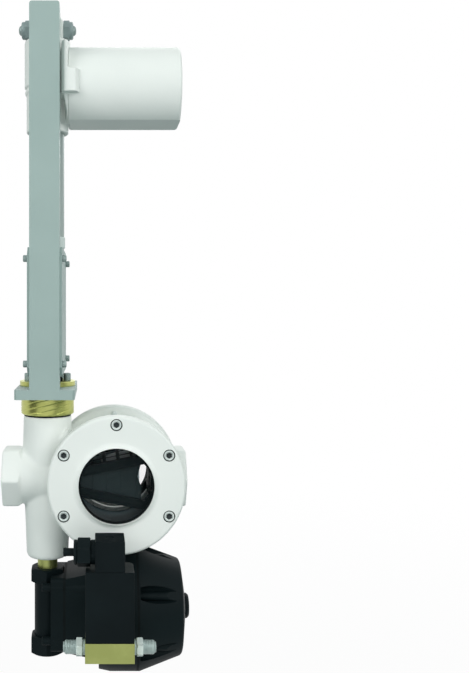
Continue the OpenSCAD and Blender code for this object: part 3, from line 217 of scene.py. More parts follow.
# painted sheen: the chamber liner's light teal colour stands in for the sheen on the dark liner inside the chamber
linerPaintedSheen = {"light": srgb(66, 88, 93), "dark": srgb(58, 79, 84), "grainScale": 1400, "grainDepth": 0.00004,
                "patchScale": 30, "rough": 0.45, "sheen": 0.04}
whitePlastic = {"light": srgb(224, 234, 230), "dark": srgb(214, 225, 221), "grainScale": 1600,
                "grainDepth": 0.00004, "patchScale": 24, "rough": 0.4, "sheen": 0.5}
softRubber = {"light": srgb(22, 28, 29), "dark": srgb(14, 19, 20), "grainScale": 2200, "grainDepth": 0.0001,
              "patchScale": 30, "rough": 0.62, "sheen": 0.08}
windowGlass = {"tint": srgb(28, 38, 38), "film": 0.03, "smearScale": 30, "rough": 0.03}

finishes = {
    "cast_white": enamel("cast enamel", whiteEnamel),
    "yoke_grey": enamel("yoke enamel", greyEnamel),
    "brass": machined("turned brass", oliveBrass),
    "steel": machined("bolt steel", boltSteel),
    "tube_grey": machined("tube metal", tubeSteel),
    "nickel": machined("nickel plate", nickel),
    "black_plastic": moulded("valve plastic", blackPlastic),
    "white_plastic": moulded("cap plastic", whitePlastic),
    "rubber": moulded("seal rubber", softRubber),
    "glass": clearGlass("sight glass", windowGlass),
    "coil_plastic": moulded("coil plastic", coilPlastic),
    "dull_brass": machined("milled brass", dullBrass),
    "sieve_plastic": moulded("sieve plastic", sievePlastic),
    "lid_painted_light": moulded("sieve lid painted light", lidPaintedLight),
    "liner_painted_sheen": moulded("liner painted sheen", linerPaintedSheen),
    "bright_steel": machined("bright screw steel", brightSteel),
    "socket_shade": machined("painted socket shade", socketShadeColour),
    "satin_steel": machined("satin screw steel", satinSteel),
    "nut_steel": machined("hanger nut steel", nutSteel),
    "mesh_steel_painted_light": machined("sieve mesh painted light", meshSteelPaintedLight),
}
# the chamber liner takes the painted sheen finish
otherFinish = {"solenoid_coil": "coil_plastic", "coil_plug": "coil_plastic", "plug_screw": "coil_plastic",
               "chamber_liner": "liner_painted_sheen", "pilot_block": "dull_brass", "drain_nipple": "dull_brass"}
slotOf = {part["node"]: part["material_slot"] for part in frame["record"]["subparts"]}
for name, node in nodes.items():
    node.data.materials.clear()
    node.data.materials.append(finishes[otherFinish.get(name, slotOf[name])])
print("finishes made:", len(finishes))


# Edges of the carried-over solids: welded, rounded and shaded smooth
softEdges = {
    "drive_yoke": 0.0016, "left_guard": 0.0003, "right_guard": 0.0003, "head_block": 0.0005,
    "front_flange": 0.0008, "rear_flange": 0.0008, "guide_cap": 0.0006, "clamp_ring": 0.0006, "guide_tube": 0.0004,
    "bonnet": 0.001, "actuator_base": 0.0012, "spacer_body": 0.0015, "valve_body": 0.0012,
    "upper_union_nut": 0.0008, "lower_union_nut": 0.0008, "indicator_cap": 0.0006,
    "solenoid_coil": 0.0012, "coil_plug": 0.0012, "pilot_block": 0.0006, "pilot_nipple": 0.0004,
    "drain_nipple": 0.0004, "rod_wiper": 0.0005, "rod_coupling": 0.0005, "sieve_cage": 0.0004, "plug_screw": 0.0002,
}
for name, width in softEdges.items():
    node = nodes[name]
    weld = node.modifiers.new("weld", "WELD")
    weld.merge_threshold = 0.00002
    plane = node.modifiers.new("plane", "DECIMATE")
    plane.decimate_type = "DISSOLVE"
    plane.angle_limit = math.radians(0.4)
    edge = node.modifiers.new("edge", "BEVEL")
    edge.width = width
    edge.segments = 3
    edge.limit_method = "ANGLE"
    edge.angle_limit = math.radians(28)
    edge.use_clamp_overlap = True
    even = node.modifiers.new("even", "WEIGHTED_NORMAL")
    even.keep_sharp = False
    for face in node.data.polygons:
        face.use_smooth = True
print("edges rounded:", len(softEdges))


tubeX = 43.5  # the upright tube's axis; every size below is in millimetres
chamberX = 111
valveZ = -130


def mm(*values):
    return Vector(values) * 0.001


def alongX(x, y=0, z=0):
    return Matrix.Translation(mm(x, y, z)) @ Matrix.Rotation(math.radians(90), 4, "Y")


def alongMinusX(x, y=0, z=0):
    return Matrix.Translation(mm(x, y, z)) @ Matrix.Rotation(math.radians(-90), 4, "Y")


def alongY(y, x=0, z=0):
    return Matrix.Translation(mm(x, y, z)) @ Matrix.Rotation(math.radians(-90), 4, "X")


def sideways(y):
    # an outline drawn in X and Z, its own Z towards the front
    return Matrix.Translation(mm(0, y, 0)) @ Matrix.Rotation(math.radians(90), 4, "X")


def upright(x, z, y=0):
    return Matrix.Translation(mm(x, y, z))


def outwards(side, x, depth, z):
    # a place on the front (-1) or rear (1) flange, its Z outwards
    return Matrix.Translation(mm(x, side * depth, z)) @ Matrix.Rotation(math.radians(-90 * side), 4, "X")


def turned(profile, place, steps=96):
    # a profile of (radius, height) spun about its own Z, then placed
    bm = bmesh.new()
    made = [bm.verts.new(mm(r, 0, h)) for r, h in profile]
    edges = [bm.edges.new(pair) for pair in zip(made, made[1:])]
    if profile[0][0] > 0 and profile[-1][0] > 0:
        edges.append(bm.edges.new((made[-1], made[0])))
    bmesh.ops.spin(bm, geom=made + edges, cent=(0, 0, 0), axis=(0, 0, 1), angle=2 * math.pi,
                   steps=steps, use_merge=True)
    bmesh.ops.remove_doubles(bm, verts=bm.verts, dist=1e-6)
    bmesh.ops.recalc_face_normals(bm, faces=bm.faces)
    bmesh.ops.transform(bm, matrix=place, verts=bm.verts)
    return bm


def bar(sides, radius, height, place, turn=0.0):
    # a straight bar with that many sides, its own Z upwards from the place
    bm = bmesh.new()
    middle = Matrix.Translation(mm(0, 0, height / 2)) @ Matrix.Rotation(math.radians(turn), 4, "Z")
    bmesh.ops.create_cone(bm, cap_ends=True, segments=sides, radius1=radius / 1000, radius2=radius / 1000,
                          depth=height / 1000, matrix=place @ middle)
    return bm


def box(low, high):
    bm = bmesh.new()
    bmesh.ops.create_cube(bm, size=1.0)
    bmesh.ops.scale(bm, vec=mm(*(b - a for a, b in zip(low, high))), verts=bm.verts)
    bmesh.ops.translate(bm, vec=mm(*((a + b) / 2 for a, b in zip(low, high))), verts=bm.verts)
    return bm


def prism(outline, height, place):
    # an outline of (x, y) raised along its own Z, then placed
    bm = bmesh.new()
    face = bm.faces.new([bm.verts.new(mm(x, y, 0)) for x, y in outline])
    raised = bmesh.ops.extrude_face_region(bm, geom=[face])
    moved = [part for part in raised["geom"] if isinstance(part, bmesh.types.BMVert)]
    bmesh.ops.translate(bm, verts=moved, vec=mm(0, 0, height))
    bmesh.ops.recalc_face_normals(bm, faces=bm.faces)
    bmesh.ops.transform(bm, matrix=place, verts=bm.verts)
    return bm


def joined(*parts):
    whole = bmesh.new()
    for part in parts:
        held = bpy.data.meshes.new("held")
        part.to_mesh(held)
        part.free()
        whole.from_mesh(held)
        bpy.data.meshes.remove(held)
    return whole


def shown(bm, name):
    data = bpy.data.meshes.new(name)
    bm.to_mesh(data)
    bm.free()
    made = bpy.data.objects.new(name, data)
    bpy.context.scene.collection.objects.link(made)
    return made


def settled(obj):
    # the object's mesh with its modifiers worked in, as a bmesh; the object goes
    bpy.context.view_layer.update()
    ready = bpy.data.meshes.new_from_object(obj.evaluated_get(bpy.context.evaluated_depsgraph_get()))
    bm = bmesh.new()
    bm.from_mesh(ready)
    old = obj.data
    bpy.data.objects.remove(obj)
    bpy.data.meshes.remove(old)
    bpy.data.meshes.remove(ready)
    return bm


def carved(body, cuts, operation="DIFFERENCE"):
    base = shown(body, "stock")
    tools = [shown(cut, "tool") for cut in cuts]
    for tool in tools:
        cut = base.modifiers.new("cut", "BOOLEAN")
        cut.operation = operation
        cut.solver = "EXACT"
        cut.object = tool
    bm = settled(base)
    for tool in tools:
        data = tool.data
        bpy.data.objects.remove(tool)
        bpy.data.meshes.remove(data)
    return bm


def copies(pattern, places):
    # one bmesh with the pattern repeated at each place
    held = bpy.data.meshes.new("pattern")
    pattern.to_mesh(held)
    pattern.free()
    whole = bmesh.new()
    for place in places:
        done = len(whole.verts)
        whole.from_mesh(held)
        whole.verts.ensure_lookup_table()
        bmesh.ops.transform(whole, matrix=place, verts=whole.verts[done:])
    bpy.data.meshes.remove(held)
    return whole


def hexStock(acrossFlats, height, low, high, place, turn=0.0):
    # hexagon with a corner on its own Y axis and turned-off ends
    corner = acrossFlats / math.sqrt(3)
    trim = turned([(0, 0), (corner - low, 0), (corner + 0.05, low * 0.6), (corner + 0.05, height - high * 0.6),
                   (corner - high, height), (0, height)], place)
    return carved(bar(6, corner, height, place, turn), [trim], "INTERSECT")


def piece(name, bm, stoodFor, finish=None, edge=0.0, segments=3, angle=28, slot=None):
    # a piece that stands for a node, or with a slot of its own an added detail beside it
    made = shown(bm, name)
    made.data.materials.append(finishes[finish or slot or slotOf[stoodFor]])
    for face in made.data.polygons:
        face.use_smooth = True
    if edge:
        soft = made.modifiers.new("edge", "BEVEL")
        soft.width = edge / 1000
        soft.segments = segments
        soft.limit_method = "ANGLE"
        soft.angle_limit = math.radians(angle)
        soft.use_clamp_overlap = True
    made.modifiers.new("even", "WEIGHTED_NORMAL").keep_sharp = False
    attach(made, bodyOf[stoodFor])
    if slot is None:
        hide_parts(stoodFor)
    return made


def castSkin(shells, look):
    # the shells as one skin, filleted where they meet
    rough = shown(shells, "rough")
    blend = rough.modifiers.new("blend", "REMESH")
    blend.mode = "VOXEL"
    blend.voxel_size = look["voxel"] / 1000
    fillet = rough.modifiers.new("fillet", "SMOOTH")
    fillet.factor = 0.5
    fillet.iterations = look["blend"]
    return settled(rough)


# The casting: pipe, tube, hexagons and drum run into each other with cast fillets, then it is bored
casting = {"pipe": 27, "neck": 23.75, "swell": 24.55, "waist": 22.55, "foot": 20.8, "drum": 50, "flange": 65.5,
           "face": 39, "back": 33, "chamfer": 3, "saddle": 68, "saddleHalf": 22.5, "bottom": -80, "top": 60.5,
           "length": 180, "hexagon": 55, "hexLength": 18, "port": 15, "core": 19.5, "coreLength": 17, "groove": 1.15,
           "mouth": 40, "chamber": 46, "drainBore": 10, "sumpBore": 18, "neckBore": 17, "voxel": 1.2, "blend": 12}


def castBody(look):
    foot, low, top = look["foot"], look["bottom"], look["top"]
    wide, face, back = look["flange"], look["face"], look["back"]
    mouth, chamber, end = look["mouth"], look["chamber"], look["length"]
    rim = [(0, back), (wide - look["chamfer"], back), (wide, back + 2.5), (wide, face), (0, face)]
    shells = joined(
        bar(96, look["pipe"], 156, alongX(12)),
        turned([(0, low), (foot - 4, low), (foot - 1.2, low + 1.2), (foot, low + 4), (look["waist"], -28),
                (look["swell"], 30), (look["neck"], top), (0, top)], upright(tubeX, 0)),
        carved(bar(128, look["saddle"], 2 * look["saddleHalf"], alongY(-look["saddleHalf"], chamberX)),
               [box((tubeX, -40, -58), (tubeX + 22, 40, 58))], "INTERSECT"),
        bar(128, look["drum"], 2 * face, alongY(-face, chamberX)),
        turned([(r, -h) for r, h in reversed(rim)], alongY(0, chamberX), 160),
        turned(rim, alongY(0, chamberX), 160),
        hexStock(look["hexagon"], look["hexLength"], 1, 2.5, alongX(0)),
        hexStock(look["hexagon"], look["hexLength"], 1, 2.5, alongMinusX(end)))
    bored = carved(castSkin(shells, look), [
        turned([(0, -70), (mouth, -70), (mouth, -back), (chamber, -back), (chamber, back), (mouth, back), (mouth, 70),
                (0, 70)], alongY(0, chamberX), 128),
        turned([(0, 5), (look["port"], 5), (look["port"], 175), (0, 175)], alongX(0), 64),
        turned([(0, -90), (look["drainBore"], -90), (look["drainBore"], -70), (look["sumpBore"], -70),
                (look["sumpBore"], -44), (look["neckBore"], -44), (look["neckBore"], 70), (0, 70)],
               upright(tubeX, 0), 64)])
    # inner thread of a socket, as shallow V grooves
    grooves = int(look["coreLength"] / look["groove"]) + 1
    thread = [(look["core"] + (0.9 if i % 2 else 0), i * look["groove"]) for i in range(grooves)]
    bore = [(0, -2), (look["core"] + 1.6, -2), (look["core"] + 1.6, -0.01)] + thread[1:]
    bore += [(look["port"], look["coreLength"]), (look["port"], 24), (0, 24)]
    return carved(bored, [turned(bore, alongX(0), 64), turned(bore, alongMinusX(end), 64)])


castPiece = piece("castBody", castBody(casting), "filter_body", edge=0.8, angle=24)
print("casting:", len(castPiece.data.polygons), "faces")


# The gear housing: a cast body with its collar, motor plate, lug and two hanger ears
housing = {"top": 432.3, "step": 385.8, "bottom": 340.8, "radius": 22.8, "collar": 20.9, "motorZ": 384.8,
           "motorX": 65.4, "plate": 34, "voxel": 0.8, "blend": 2, "ear": (12.3, 15.8), "earHalf": 14, "earTop": 454.2,
           "lugFoot": 371.8, "lugHeight": 22.5, "web": 40.95, "flank": 48.8, "motorBore": 41.15, "boltHole": 5.1,
           "boltZ": 444.3, "tubeBore": 16.7}


def gearBody(look):
    low, high = look["ear"]
    foot, tip = look["top"] - 2, look["earTop"]
    flat = [(low, foot), (high, foot), (high, tip - 4.5), (high - 2.6, tip), (low, tip)]
    ears = [prism([(tubeX + side * x, z) for x, z in flat], 2 * look["earHalf"], sideways(look["earHalf"]))
            for side in (-1, 1)]
    motorX, motorZ = look["motorX"], look["motorZ"]
    lug = prism([(59, 0), (59, -42.5), (61.5, -46.2), (64, -47), (71.5, -47), (73.4, -46), (76.4, -40), (76.4, 0)],
                look["lugHeight"], upright(0, look["lugFoot"]))
    web = carved(bar(160, look["web"], 7, alongX(motorX - 7, 0, motorZ)), [
        prism([(motorX, motorZ), (motorX - 6, motorZ), (motorX - 3.8, motorZ - 17), (motorX - 1, motorZ - 34.6),
               (motorX, motorZ - 34.6)], 90, sideways(45))], "INTERSECT")
    flank = prism([(59, 20), (59, -42.5), (61.5, -46.2), (64, -46.9), (65.2, -46.2), (65.2, 20)], look["flank"],
                  upright(0, look["lugFoot"]))
    neck, wide, step = look["collar"], look["radius"], look["step"]
    bead = [(neck, step - 8.2), (wide - 0.5, step - 5.6), (wide - 0.2, step - 4.4), (wide - 0.5, step - 3.2),
            (neck, step - 2.4), (neck, step - 0.5)]
    shells = joined(
        turned([(0, look["bottom"]), (neck - 1, look["bottom"]), (neck, look["bottom"] + 1), *bead, (wide, step),
                (wide, look["top"] - 1), (wide - 1, look["top"]), (0, look["top"])], upright(tubeX, 0)), flank,
        bar(128, look["plate"], 3.5, alongX(motorX - 3, 0, motorZ)),
        box((tubeX, -20, look["step"]), (62.7, 20, look["top"] - 7)),
        box((tubeX, -35.7, look["lugFoot"]), (70, 0, look["lugFoot"] + look["lugHeight"])), lug, web, *ears)
    return carved(castSkin(shells, look), [
        bar(160, look["motorBore"], 120, alongX(motorX, 0, motorZ)),
        bar(48, look["boltHole"], 120, alongX(tubeX - 60, 0, look["boltZ"])),
        bar(64, look["tubeBore"], 10, upright(tubeX, look["bottom"] - 2))])


housingPiece = piece("gearBody", gearBody(housing), "gear_housing", edge=0.4, angle=40)
print("gear housing:", len(housingPiece.data.polygons), "faces")


# The motor drum, turned and then cut flat underneath
drum = {"radius": 41, "start": 65.4, "length": 108.8, "axis": 384.8, "flat": 34.6, "round": 3}


def motorShell(look):
    r, end, soft = look["radius"], look["length"], look["round"]
    bend = [(r - soft + soft * math.cos(math.radians(a)), end - soft + soft * math.sin(math.radians(a)))
            for a in range(0, 91, 15)]
    shell = turned([(0, 0), (r - 0.3, 0), (r, 0.3)] + bend + [(30, end), (29.4, end - 0.5), (0, end - 0.5)],
                   alongX(look["start"], 0, look["axis"]), 160)
    whole = shell.verts[:] + shell.edges[:] + shell.faces[:]
    level = mm(0, 0, look["axis"] - look["flat"])
    cut = bmesh.ops.bisect_plane(shell, geom=whole, dist=1e-7, plane_co=level, plane_no=(0, 0, -1), clear_outer=True)
    rim = [part for part in cut["geom_cut"] if isinstance(part, bmesh.types.BMEdge)]
    bmesh.ops.edgeloop_fill(shell, edges=rim)
    bmesh.ops.recalc_face_normals(shell, faces=shell.faces)
    return shell


piece("motorShell", motorShell(drum), "motor_drum", edge=1.2, segments=4)
print("motor drum made")


# Socket screws: one pattern for each size, repeated where it is screwed in
def capScrew(look):
    head, height, shank, length = look["head"], look["height"], look["shank"], look["length"]
    steps = 48
    body = turned([(0, -length), (shank - 0.5, -length), (shank, 0.5 - length), (shank, 0), (head - 0.2, 0),
                   (head, 0.3), (head, height - 0.6), (head - 0.25, height - 0.2), (head - 0.6, height), (0, height)],
                  Matrix.Identity(4), steps)
    for vert in body.verts:
        across = math.hypot(vert.co.x, vert.co.y) * 1000
        turn = round(math.degrees(math.atan2(vert.co.y, vert.co.x)) / (360 / steps))
        if look["knurl"] and abs(across - head) < 0.01 and turn % 2:
            vert.co.xy *= 1 - look["knurl"] / head
    key = bar(6, look["key"], look["deep"] + 1, upright(0, height - look["deep"]))
    return carved(body, [key])


flangeScrew = {"head": 4.8, "height": 6, "shank": 3, "length": 12, "key": 2.9, "deep": 3.2, "knurl": 0}
clampScrew = {"head": 3.6, "height": 7.5, "shank": 2.5, "length": 23.8, "key": 2.2, "deep": 3, "knurl": 0.12}
guardScrew = {"head": 3.3, "height": 4, "shank": 2, "length": 8.8, "key": 2, "deep": 2.2, "knurl": 0.1}
tieBolt = {"head": 4, "height": 8.5, "shank": 2.5, "length": 23.5, "key": 2.4, "deep": 3, "knurl": 0}


screwRing = {"circle": 57.2, "seat": 43.5, "inner": 4.83, "outer": 5.68, "low": 1.5, "high": 5.2}
clampCircle = {"radius": 19.5, "seat": 94.8}


def flangePlaces(look):
    # screw places of both flanges, their Z outwards
    places = []
    for side in (-1, 1):
        for turn in range(30, 390, 60):
            across = look["circle"] * math.cos(math.radians(turn))
            up = look["circle"] * math.sin(math.radians(turn))
            places.append(outwards(side, chamberX + across, look["seat"], up))
    return places


def clampPlace(look, turn):
    across, along = look["radius"] * math.cos(math.radians(turn)), look["radius"] * math.sin(math.radians(turn))
    return upright(tubeX + across, look["seat"], along)


piece("flangeScrews", copies(capScrew(flangeScrew), flangePlaces(screwRing)), "flange_screws", "bright_steel")
# painted shade: a dark lining in each key socket and a dark ring in the gap round each head stand in for the shade
# inside these recesses
shadeLining = carved(bar(6, 2.86, 2.9, upright(0, 2.82)), [bar(6, 2.72, 4, upright(0, 3.1))])
piece("keySocketShade", copies(shadeLining, flangePlaces(screwRing)), "flange_screws", "socket_shade", slot="steel")
inner, outer, low, high = (screwRing[name] for name in ("inner", "outer", "low", "high"))
# painted shade: a dark ring fills the gap round each screw head, standing in for the shade in it
gapShadeRing = turned([(inner, low), (outer, low), (outer, high), (inner, high)], Matrix.Identity(4), 48)
piece("screwGapShade", copies(gapShadeRing, flangePlaces(screwRing)), "flange_screws", slot="rubber")
clampPlaces = [clampPlace(clampCircle, turn) for turn in range(0, 360, 90)]
piece("clampScrews", copies(capScrew(clampScrew), clampPlaces), "clamp_screws", "satin_steel", edge=0.15)
guardPlaces = [turn(tubeX + side * 16.5, y, z) for side, turn in ((1, alongX), (-1, alongMinusX))
               for y in (-45, 45) for z in (114.3, 213.8)]
piece("guardScrews", copies(capScrew(guardScrew), guardPlaces), "guard_screws", "satin_steel", edge=0.15)
tiePlaces = [alongMinusX(48, y, valveZ + z) for y in (-23.5, 23.5) for z in (-26, 26)]
piece("tieBolts", copies(capScrew(tieBolt), tiePlaces), "tie_bolts", edge=0.2)
print("screws made")


# The brass sleeve with its shallow many-start thread
sleeve = {"radius": 26.2, "bottom": 62, "top": 81, "chamfer": 1.2, "starts": 7, "lead": 37, "depth": 0.4,
          "width": 0.38, "rows": 72, "rod": 6.2, "spigot": 16.8, "spigotEnd": 48}


def threadedSleeve(look):
    r, low, high, edge = look["radius"], look["bottom"], look["top"], look["chamfer"]
    rows = [low + edge + (high - low - edge) * i / look["rows"] for i in range(look["rows"] + 1)]
    outside = [(17.2, low), (r - edge, low)] + [(r, z) for z in rows]
    inside = [(look["rod"], high), (look["rod"], look["spigotEnd"]), (look["spigot"], look["spigotEnd"]),
              (look["spigot"], low)]
    body = turned(outside + inside, upright(tubeX, 0), 216)
    pitch = look["lead"] / look["starts"]
    for vert in body.verts:
        x, y, z = vert.co.x * 1000 - tubeX, vert.co.y * 1000, vert.co.z * 1000
        across = math.hypot(x, y)
        if abs(across - r) < 0.01:
            run = (z - look["lead"] * math.atan2(y, x) / (2 * math.pi)) % pitch - pitch / 2
            cut = look["depth"] * math.exp(-(run / look["width"]) ** 2)
            vert.co.x = (tubeX + x * (1 - cut / across)) / 1000
            vert.co.y = y * (1 - cut / across) / 1000
    return body


piece("threadedSleeve", threadedSleeve(sleeve), "brass_head", edge=0.3, angle=40)
print("sleeve made")


# The sieve's sheet: a wedge box with slots above and below, notched side panels, and the mesh inside it
sieve = {"start": 77.1, "end": 134, "small": 13.9, "rise": 0.2, "foot": 74, "deep": 29.4, "thick": 1,
         "slotsX": (78.4, 84.9, 88.2, 98.2, 101.5, 111.5, 114.8, 124.8, 127.6, 132.4),
         "slotsY": (-28.6, -14, -8, 9, 15, 28.6), "notch": ((135, 17), (131.8, 4.8), (135.4, -5), (135.4, -17)),
         "bars": (89, 102.4, 116.2, 129.9)}


def sieveHeight(look, x):
    return look["small"] + look["rise"] * (x - look["foot"])


def sieveLid(look, side):
    # upper or lower panel, slotted
    across = [look["start"], *look["slotsX"], look["end"]]
    along = [-look["deep"], *look["slotsY"], look["deep"]]
    lid = bmesh.new()
    rows = [[lid.verts.new(mm(x, y, side * sieveHeight(look, x))) for x in across] for y in along]
    for j in range(len(along) - 1):
        for i in range(len(across) - 1):
            if not (i % 2 and j % 2):
                lid.faces.new((rows[j][i], rows[j][i + 1], rows[j + 1][i + 1], rows[j + 1][i]))
    bmesh.ops.solidify(lid, geom=lid.faces[:], thickness=side * look["thick"] / 1000)
    bmesh.ops.recalc_face_normals(lid, faces=lid.faces)
    return lid


def sievePanel(look, y):
    # front or rear panel with a notched end and raised bars between its fields
    low, high = sieveHeight(look, look["start"]) - 0.2, sieveHeight(look, look["end"]) - 0.2
    outline = [(look["start"], -low), (look["start"], low), (look["end"], high), *look["notch"], (look["end"], -high)]
    parts = [prism(outline, look["thick"], sideways(y + look["thick"] / 2))]
    out = 0.15 if y > 0 else -0.15
    for x in look["bars"]:
        reach = sieveHeight(look, x) - 9
        parts.append(box((x - 0.9, y + out - 0.45, -reach), (x + 0.9, y + out + 0.45, reach)))
    return joined(*parts)


def sieveSheet(look):
    edge = look["deep"] - look["thick"] / 2
    return joined(sievePanel(look, -edge), sievePanel(look, edge))


def sieveMesh(look):
    low, high = sieveHeight(look, look["start"]) - 1.5, sieveHeight(look, look["end"]) - 1.5
    start, end = look["start"] + 0.3, look["end"] - 0.5
    outline = [(start, -low), (start, low), (end, high), (end, -high)]
    inner = [(x + (9 if x > 100 else -9), z - (0.4 if z > 0 else -0.4)) for x, z in outline]
    deep = look["deep"] - 1.5
    return carved(prism(outline, 2 * deep, sideways(deep)), [prism(inner, 2 * deep - 0.8, sideways(deep - 0.4))])


piece("sieveSheet", sieveSheet(sieve), "sieve_screen", "sieve_plastic")
# painted light: the slotted panels take a lighter copy of the sieve plastic for the light falling on them
piece("sieveLids", joined(sieveLid(sieve, 1), sieveLid(sieve, -1)), "sieve_screen", "lid_painted_light", slot="steel")
# the mesh's pale colour is partly its steel and partly painted light, for the light seen through the slots
piece("sieveMesh", sieveMesh(sieve), "sieve_screen", "mesh_steel_painted_light", slot="steel")


# Both windows: a rubber lip on the glass and the casting's raised rim around it
windowSides = [outwards(side, chamberX, casting["face"], 0) for side in (-1, 1)]
sealLine = [(34.1, 7.02), (34.72, 7.02), (34.72, 8.5), (35.58, 9.3), (35.58, 10.9), (35.1, 11.0), (34.1, 8.3)]
rimLine = [(35.6, 9.4), (35.6, 13.6), (35.8, 13.9), (36.1, 13.8), (37.0, 12.5), (38.1, 11.6), (39.5, 11.12),
           (40.8, 11.01), (40.8, 10.9), (37.2, 10.9)]
piece("windowSeals", copies(turned(sealLine, Matrix.Identity(4), 128), windowSides), "glass_gaskets", slot="rubber")
piece("windowRims", copies(turned(rimLine, Matrix.Identity(4), 160), windowSides), "front_flange", slot="cast_white")
print("sieve and windows made")


# Hanger bolt with its thread and rounded ends, and a nut with a round collar on each side
hanger = {"radius": 5, "reach": 28.7, "pitch": 1.5, "depth": 0.7, "height": 444.3, "nut": 17.2, "nutLength": 6.2,
          "collar": 8.6, "collarLength": 3.6, "start": 15.9, "turn": -2}


def hangerRod(look):
    r, reach, turn = look["radius"], look["reach"], look["pitch"]
    dome = [(0, 0), (2.2, 0.15), (3.6, 0.7), (4.6, 1.7), (5, 3.1)]
    line = [(d, h - reach) for d, h in dome]
    h = 4 - reach
    while h < reach - 5:
        line += [(r - look["depth"], h), (r, h + turn / 2)]
        h += turn
    return turned(line + [(d, reach - h) for d, h in reversed(dome)], alongX(tubeX, 0, look["height"]), 48)


def hangerNuts(look):
    start, length, hole = look["start"], look["nutLength"], look["radius"] + 0.05
    collar, tall = look["collar"], look["collarLength"]
    ring = [(hole, 0), (collar, 0), (collar, tall - 1.4), (collar - 0.4, tall - 0.6), (collar - 1.5, tall),
            (hole, tall)]
    parts = []
    for side, turn in ((1, alongX), (-1, alongMinusX)):
        first = turn(tubeX + side * start, 0, look["height"])
        second = turn(tubeX + side * (start + length), 0, look["height"])
        stock = hexStock(look["nut"], length, 0.6, 0.8, first, side * look["turn"])
        parts.append(carved(stock, [bar(48, hole, 80, alongX(tubeX - 40, 0, look["height"]))]))
        parts.append(turned(ring, second, 64))
    return joined(*parts)


piece("hangerRod", hangerRod(hanger), "cross_bolt", "satin_steel")
piece("hangerNuts", hangerNuts(hanger), "cross_bolt_nuts", "nut_steel", edge=0.3)
print("hanger made")


# Cable gland on the coil's plug: a ring, a hexagon with its flat to the front, and a ribbed collar
gland = {"root": 90.9, "y": -95, "z": -48.15, "hexagon": 22.4, "ring": 10.6, "neck": 8, "hole": 3.3,
         "pin": 83.5}


def cableGland(look):
    def put(x):
        return alongMinusX(look["root"] - x, look["y"], look["z"])

    ring, hole = look["ring"], look["hole"]
    body = carved(hexStock(look["hexagon"], 11.4, 1.2, 1.2, put(4), 30), [
        turned([(0, -5.9), (look["neck"], -5.9), (look["neck"], 0), (ring, 0), (ring, 3.2), (ring - 0.6, 3.8),
                (ring - 0.6, 6), (0, 6)], put(0)),
        turned([(0, -3), (ring - 0.2, -3), (ring - 0.2, 0.6), (ring + 0.2, 1), (ring + 0.2, 2.6), (ring - 0.8, 3.4),
                (0, 3.4)], put(15.4))], "UNION")
    return carved(body, [bar(48, hole, 40, put(7.4))])


piece("cableGland", cableGland(gland), "gland_nut", edge=0.4)
pinLine = [(0, 0), (3.2, 0), (3.2, 7.6), (3.5, 7.9), (3.5, 18.0), (3.8, 18.3), (3.8, 20.0), (3.4, 20.5), (0, 20.5)]
piece("blankingPin", turned(pinLine, alongMinusX(gland["pin"], gland["y"], gland["z"]), 48), "gland_pin")
print("gland made")


# Push-in tube fittings on both sides of the brass block
fitting = {"left": 82.2, "right": 125.2, "y": -95, "z": -131.7, "radius": 6, "length": 18, "nut": 14.6}


def fittingBody(look):
    r, end = look["radius"], look["length"]
    line = [(1.5, -9.9), (4, -9.9), (4, 0), (r + 0.6, 0), (r + 0.6, 2.2), (r, 2.5), (r, 9)]
    for i in range(5):
        line += [(r - 0.35, 9.4 + i * 1.4), (r, 9.8 + i * 1.4), (r, 10.4 + i * 1.4)]
    line += [(r, end - 1), (r - 0.9, end), (4.3, end), (4.3, end - 8), (1.5, end - 8)]
    return turned(line, Matrix.Identity(4), 64)


def fittingNut(look):
    stock = hexStock(look["nut"], 5.3, 0.9, 0.9, Matrix.Identity(4), 30)
    return carved(stock, [bar(64, look["radius"] + 0.1, 20, upright(0, -5))])


def fittingSides(look, out=0.0):
    y, z = look["y"], look["z"]
    return [alongX(look["right"] + out, y, z), alongMinusX(look["left"] - out, y, z)]


collet = [(3.05, 0), (4.2, 0), (4.2, 8.2), (4.6, 8.5), (4.6, 9), (4.1, 9.4), (3.3, 9.4), (3.05, 9.1)]
piece("fittingBodies", copies(fittingBody(fitting), fittingSides(fitting)), "tube_fittings", edge=0.15)
piece("fittingNuts", copies(fittingNut(fitting), fittingSides(fitting, 2.5)), "fitting_nuts", edge=0.25)
piece("fittingCollets", copies(turned(collet, Matrix.Identity(4), 48), fittingSides(fitting, 10)), "fitting_collets")
print("fittings made")


# Return spring in the bonnet, wound from the foot to the roof of its part at one length; nothing here shortens it as
# the valve opens
spring = {"radius": 26, "wire": 1.5, "turns": 5, "stepsPerTurn": 48, "stroke": 8}


def coilSpring(look, start, end):
    steps = look["turns"] * look["stepsPerTurn"]
    wire = bmesh.new()
    section = Matrix.Translation(mm(start, 0, valveZ + look["radius"])) @ Matrix.Rotation(math.radians(90), 4, "X")
    bmesh.ops.create_circle(wire, cap_ends=False, segments=12, radius=look["wire"] / 1000, matrix=section)
    bmesh.ops.spin(wire, geom=wire.verts[:] + wire.edges[:], cent=mm(0, 0, valveZ), axis=(1, 0, 0),
                   dvec=mm((end - start) / steps, 0, 0), angle=2 * math.pi * look["turns"], steps=steps)
    bmesh.ops.holes_fill(wire, edges=[edge for edge in wire.edges if edge.is_boundary], sides=0)
    bmesh.ops.recalc_face_normals(wire, faces=wire.faces)
    return wire


springFoot, springRoof = (corner[0] * 1000 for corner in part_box("return_spring"))
coil = coilSpring(spring, springFoot + spring["wire"], springRoof - spring["wire"])
springPiece = piece("returnSpring", coil, "return_spring")
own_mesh(springPiece)
print("spring made:", round(springFoot, 1), "to", round(springRoof, 1))


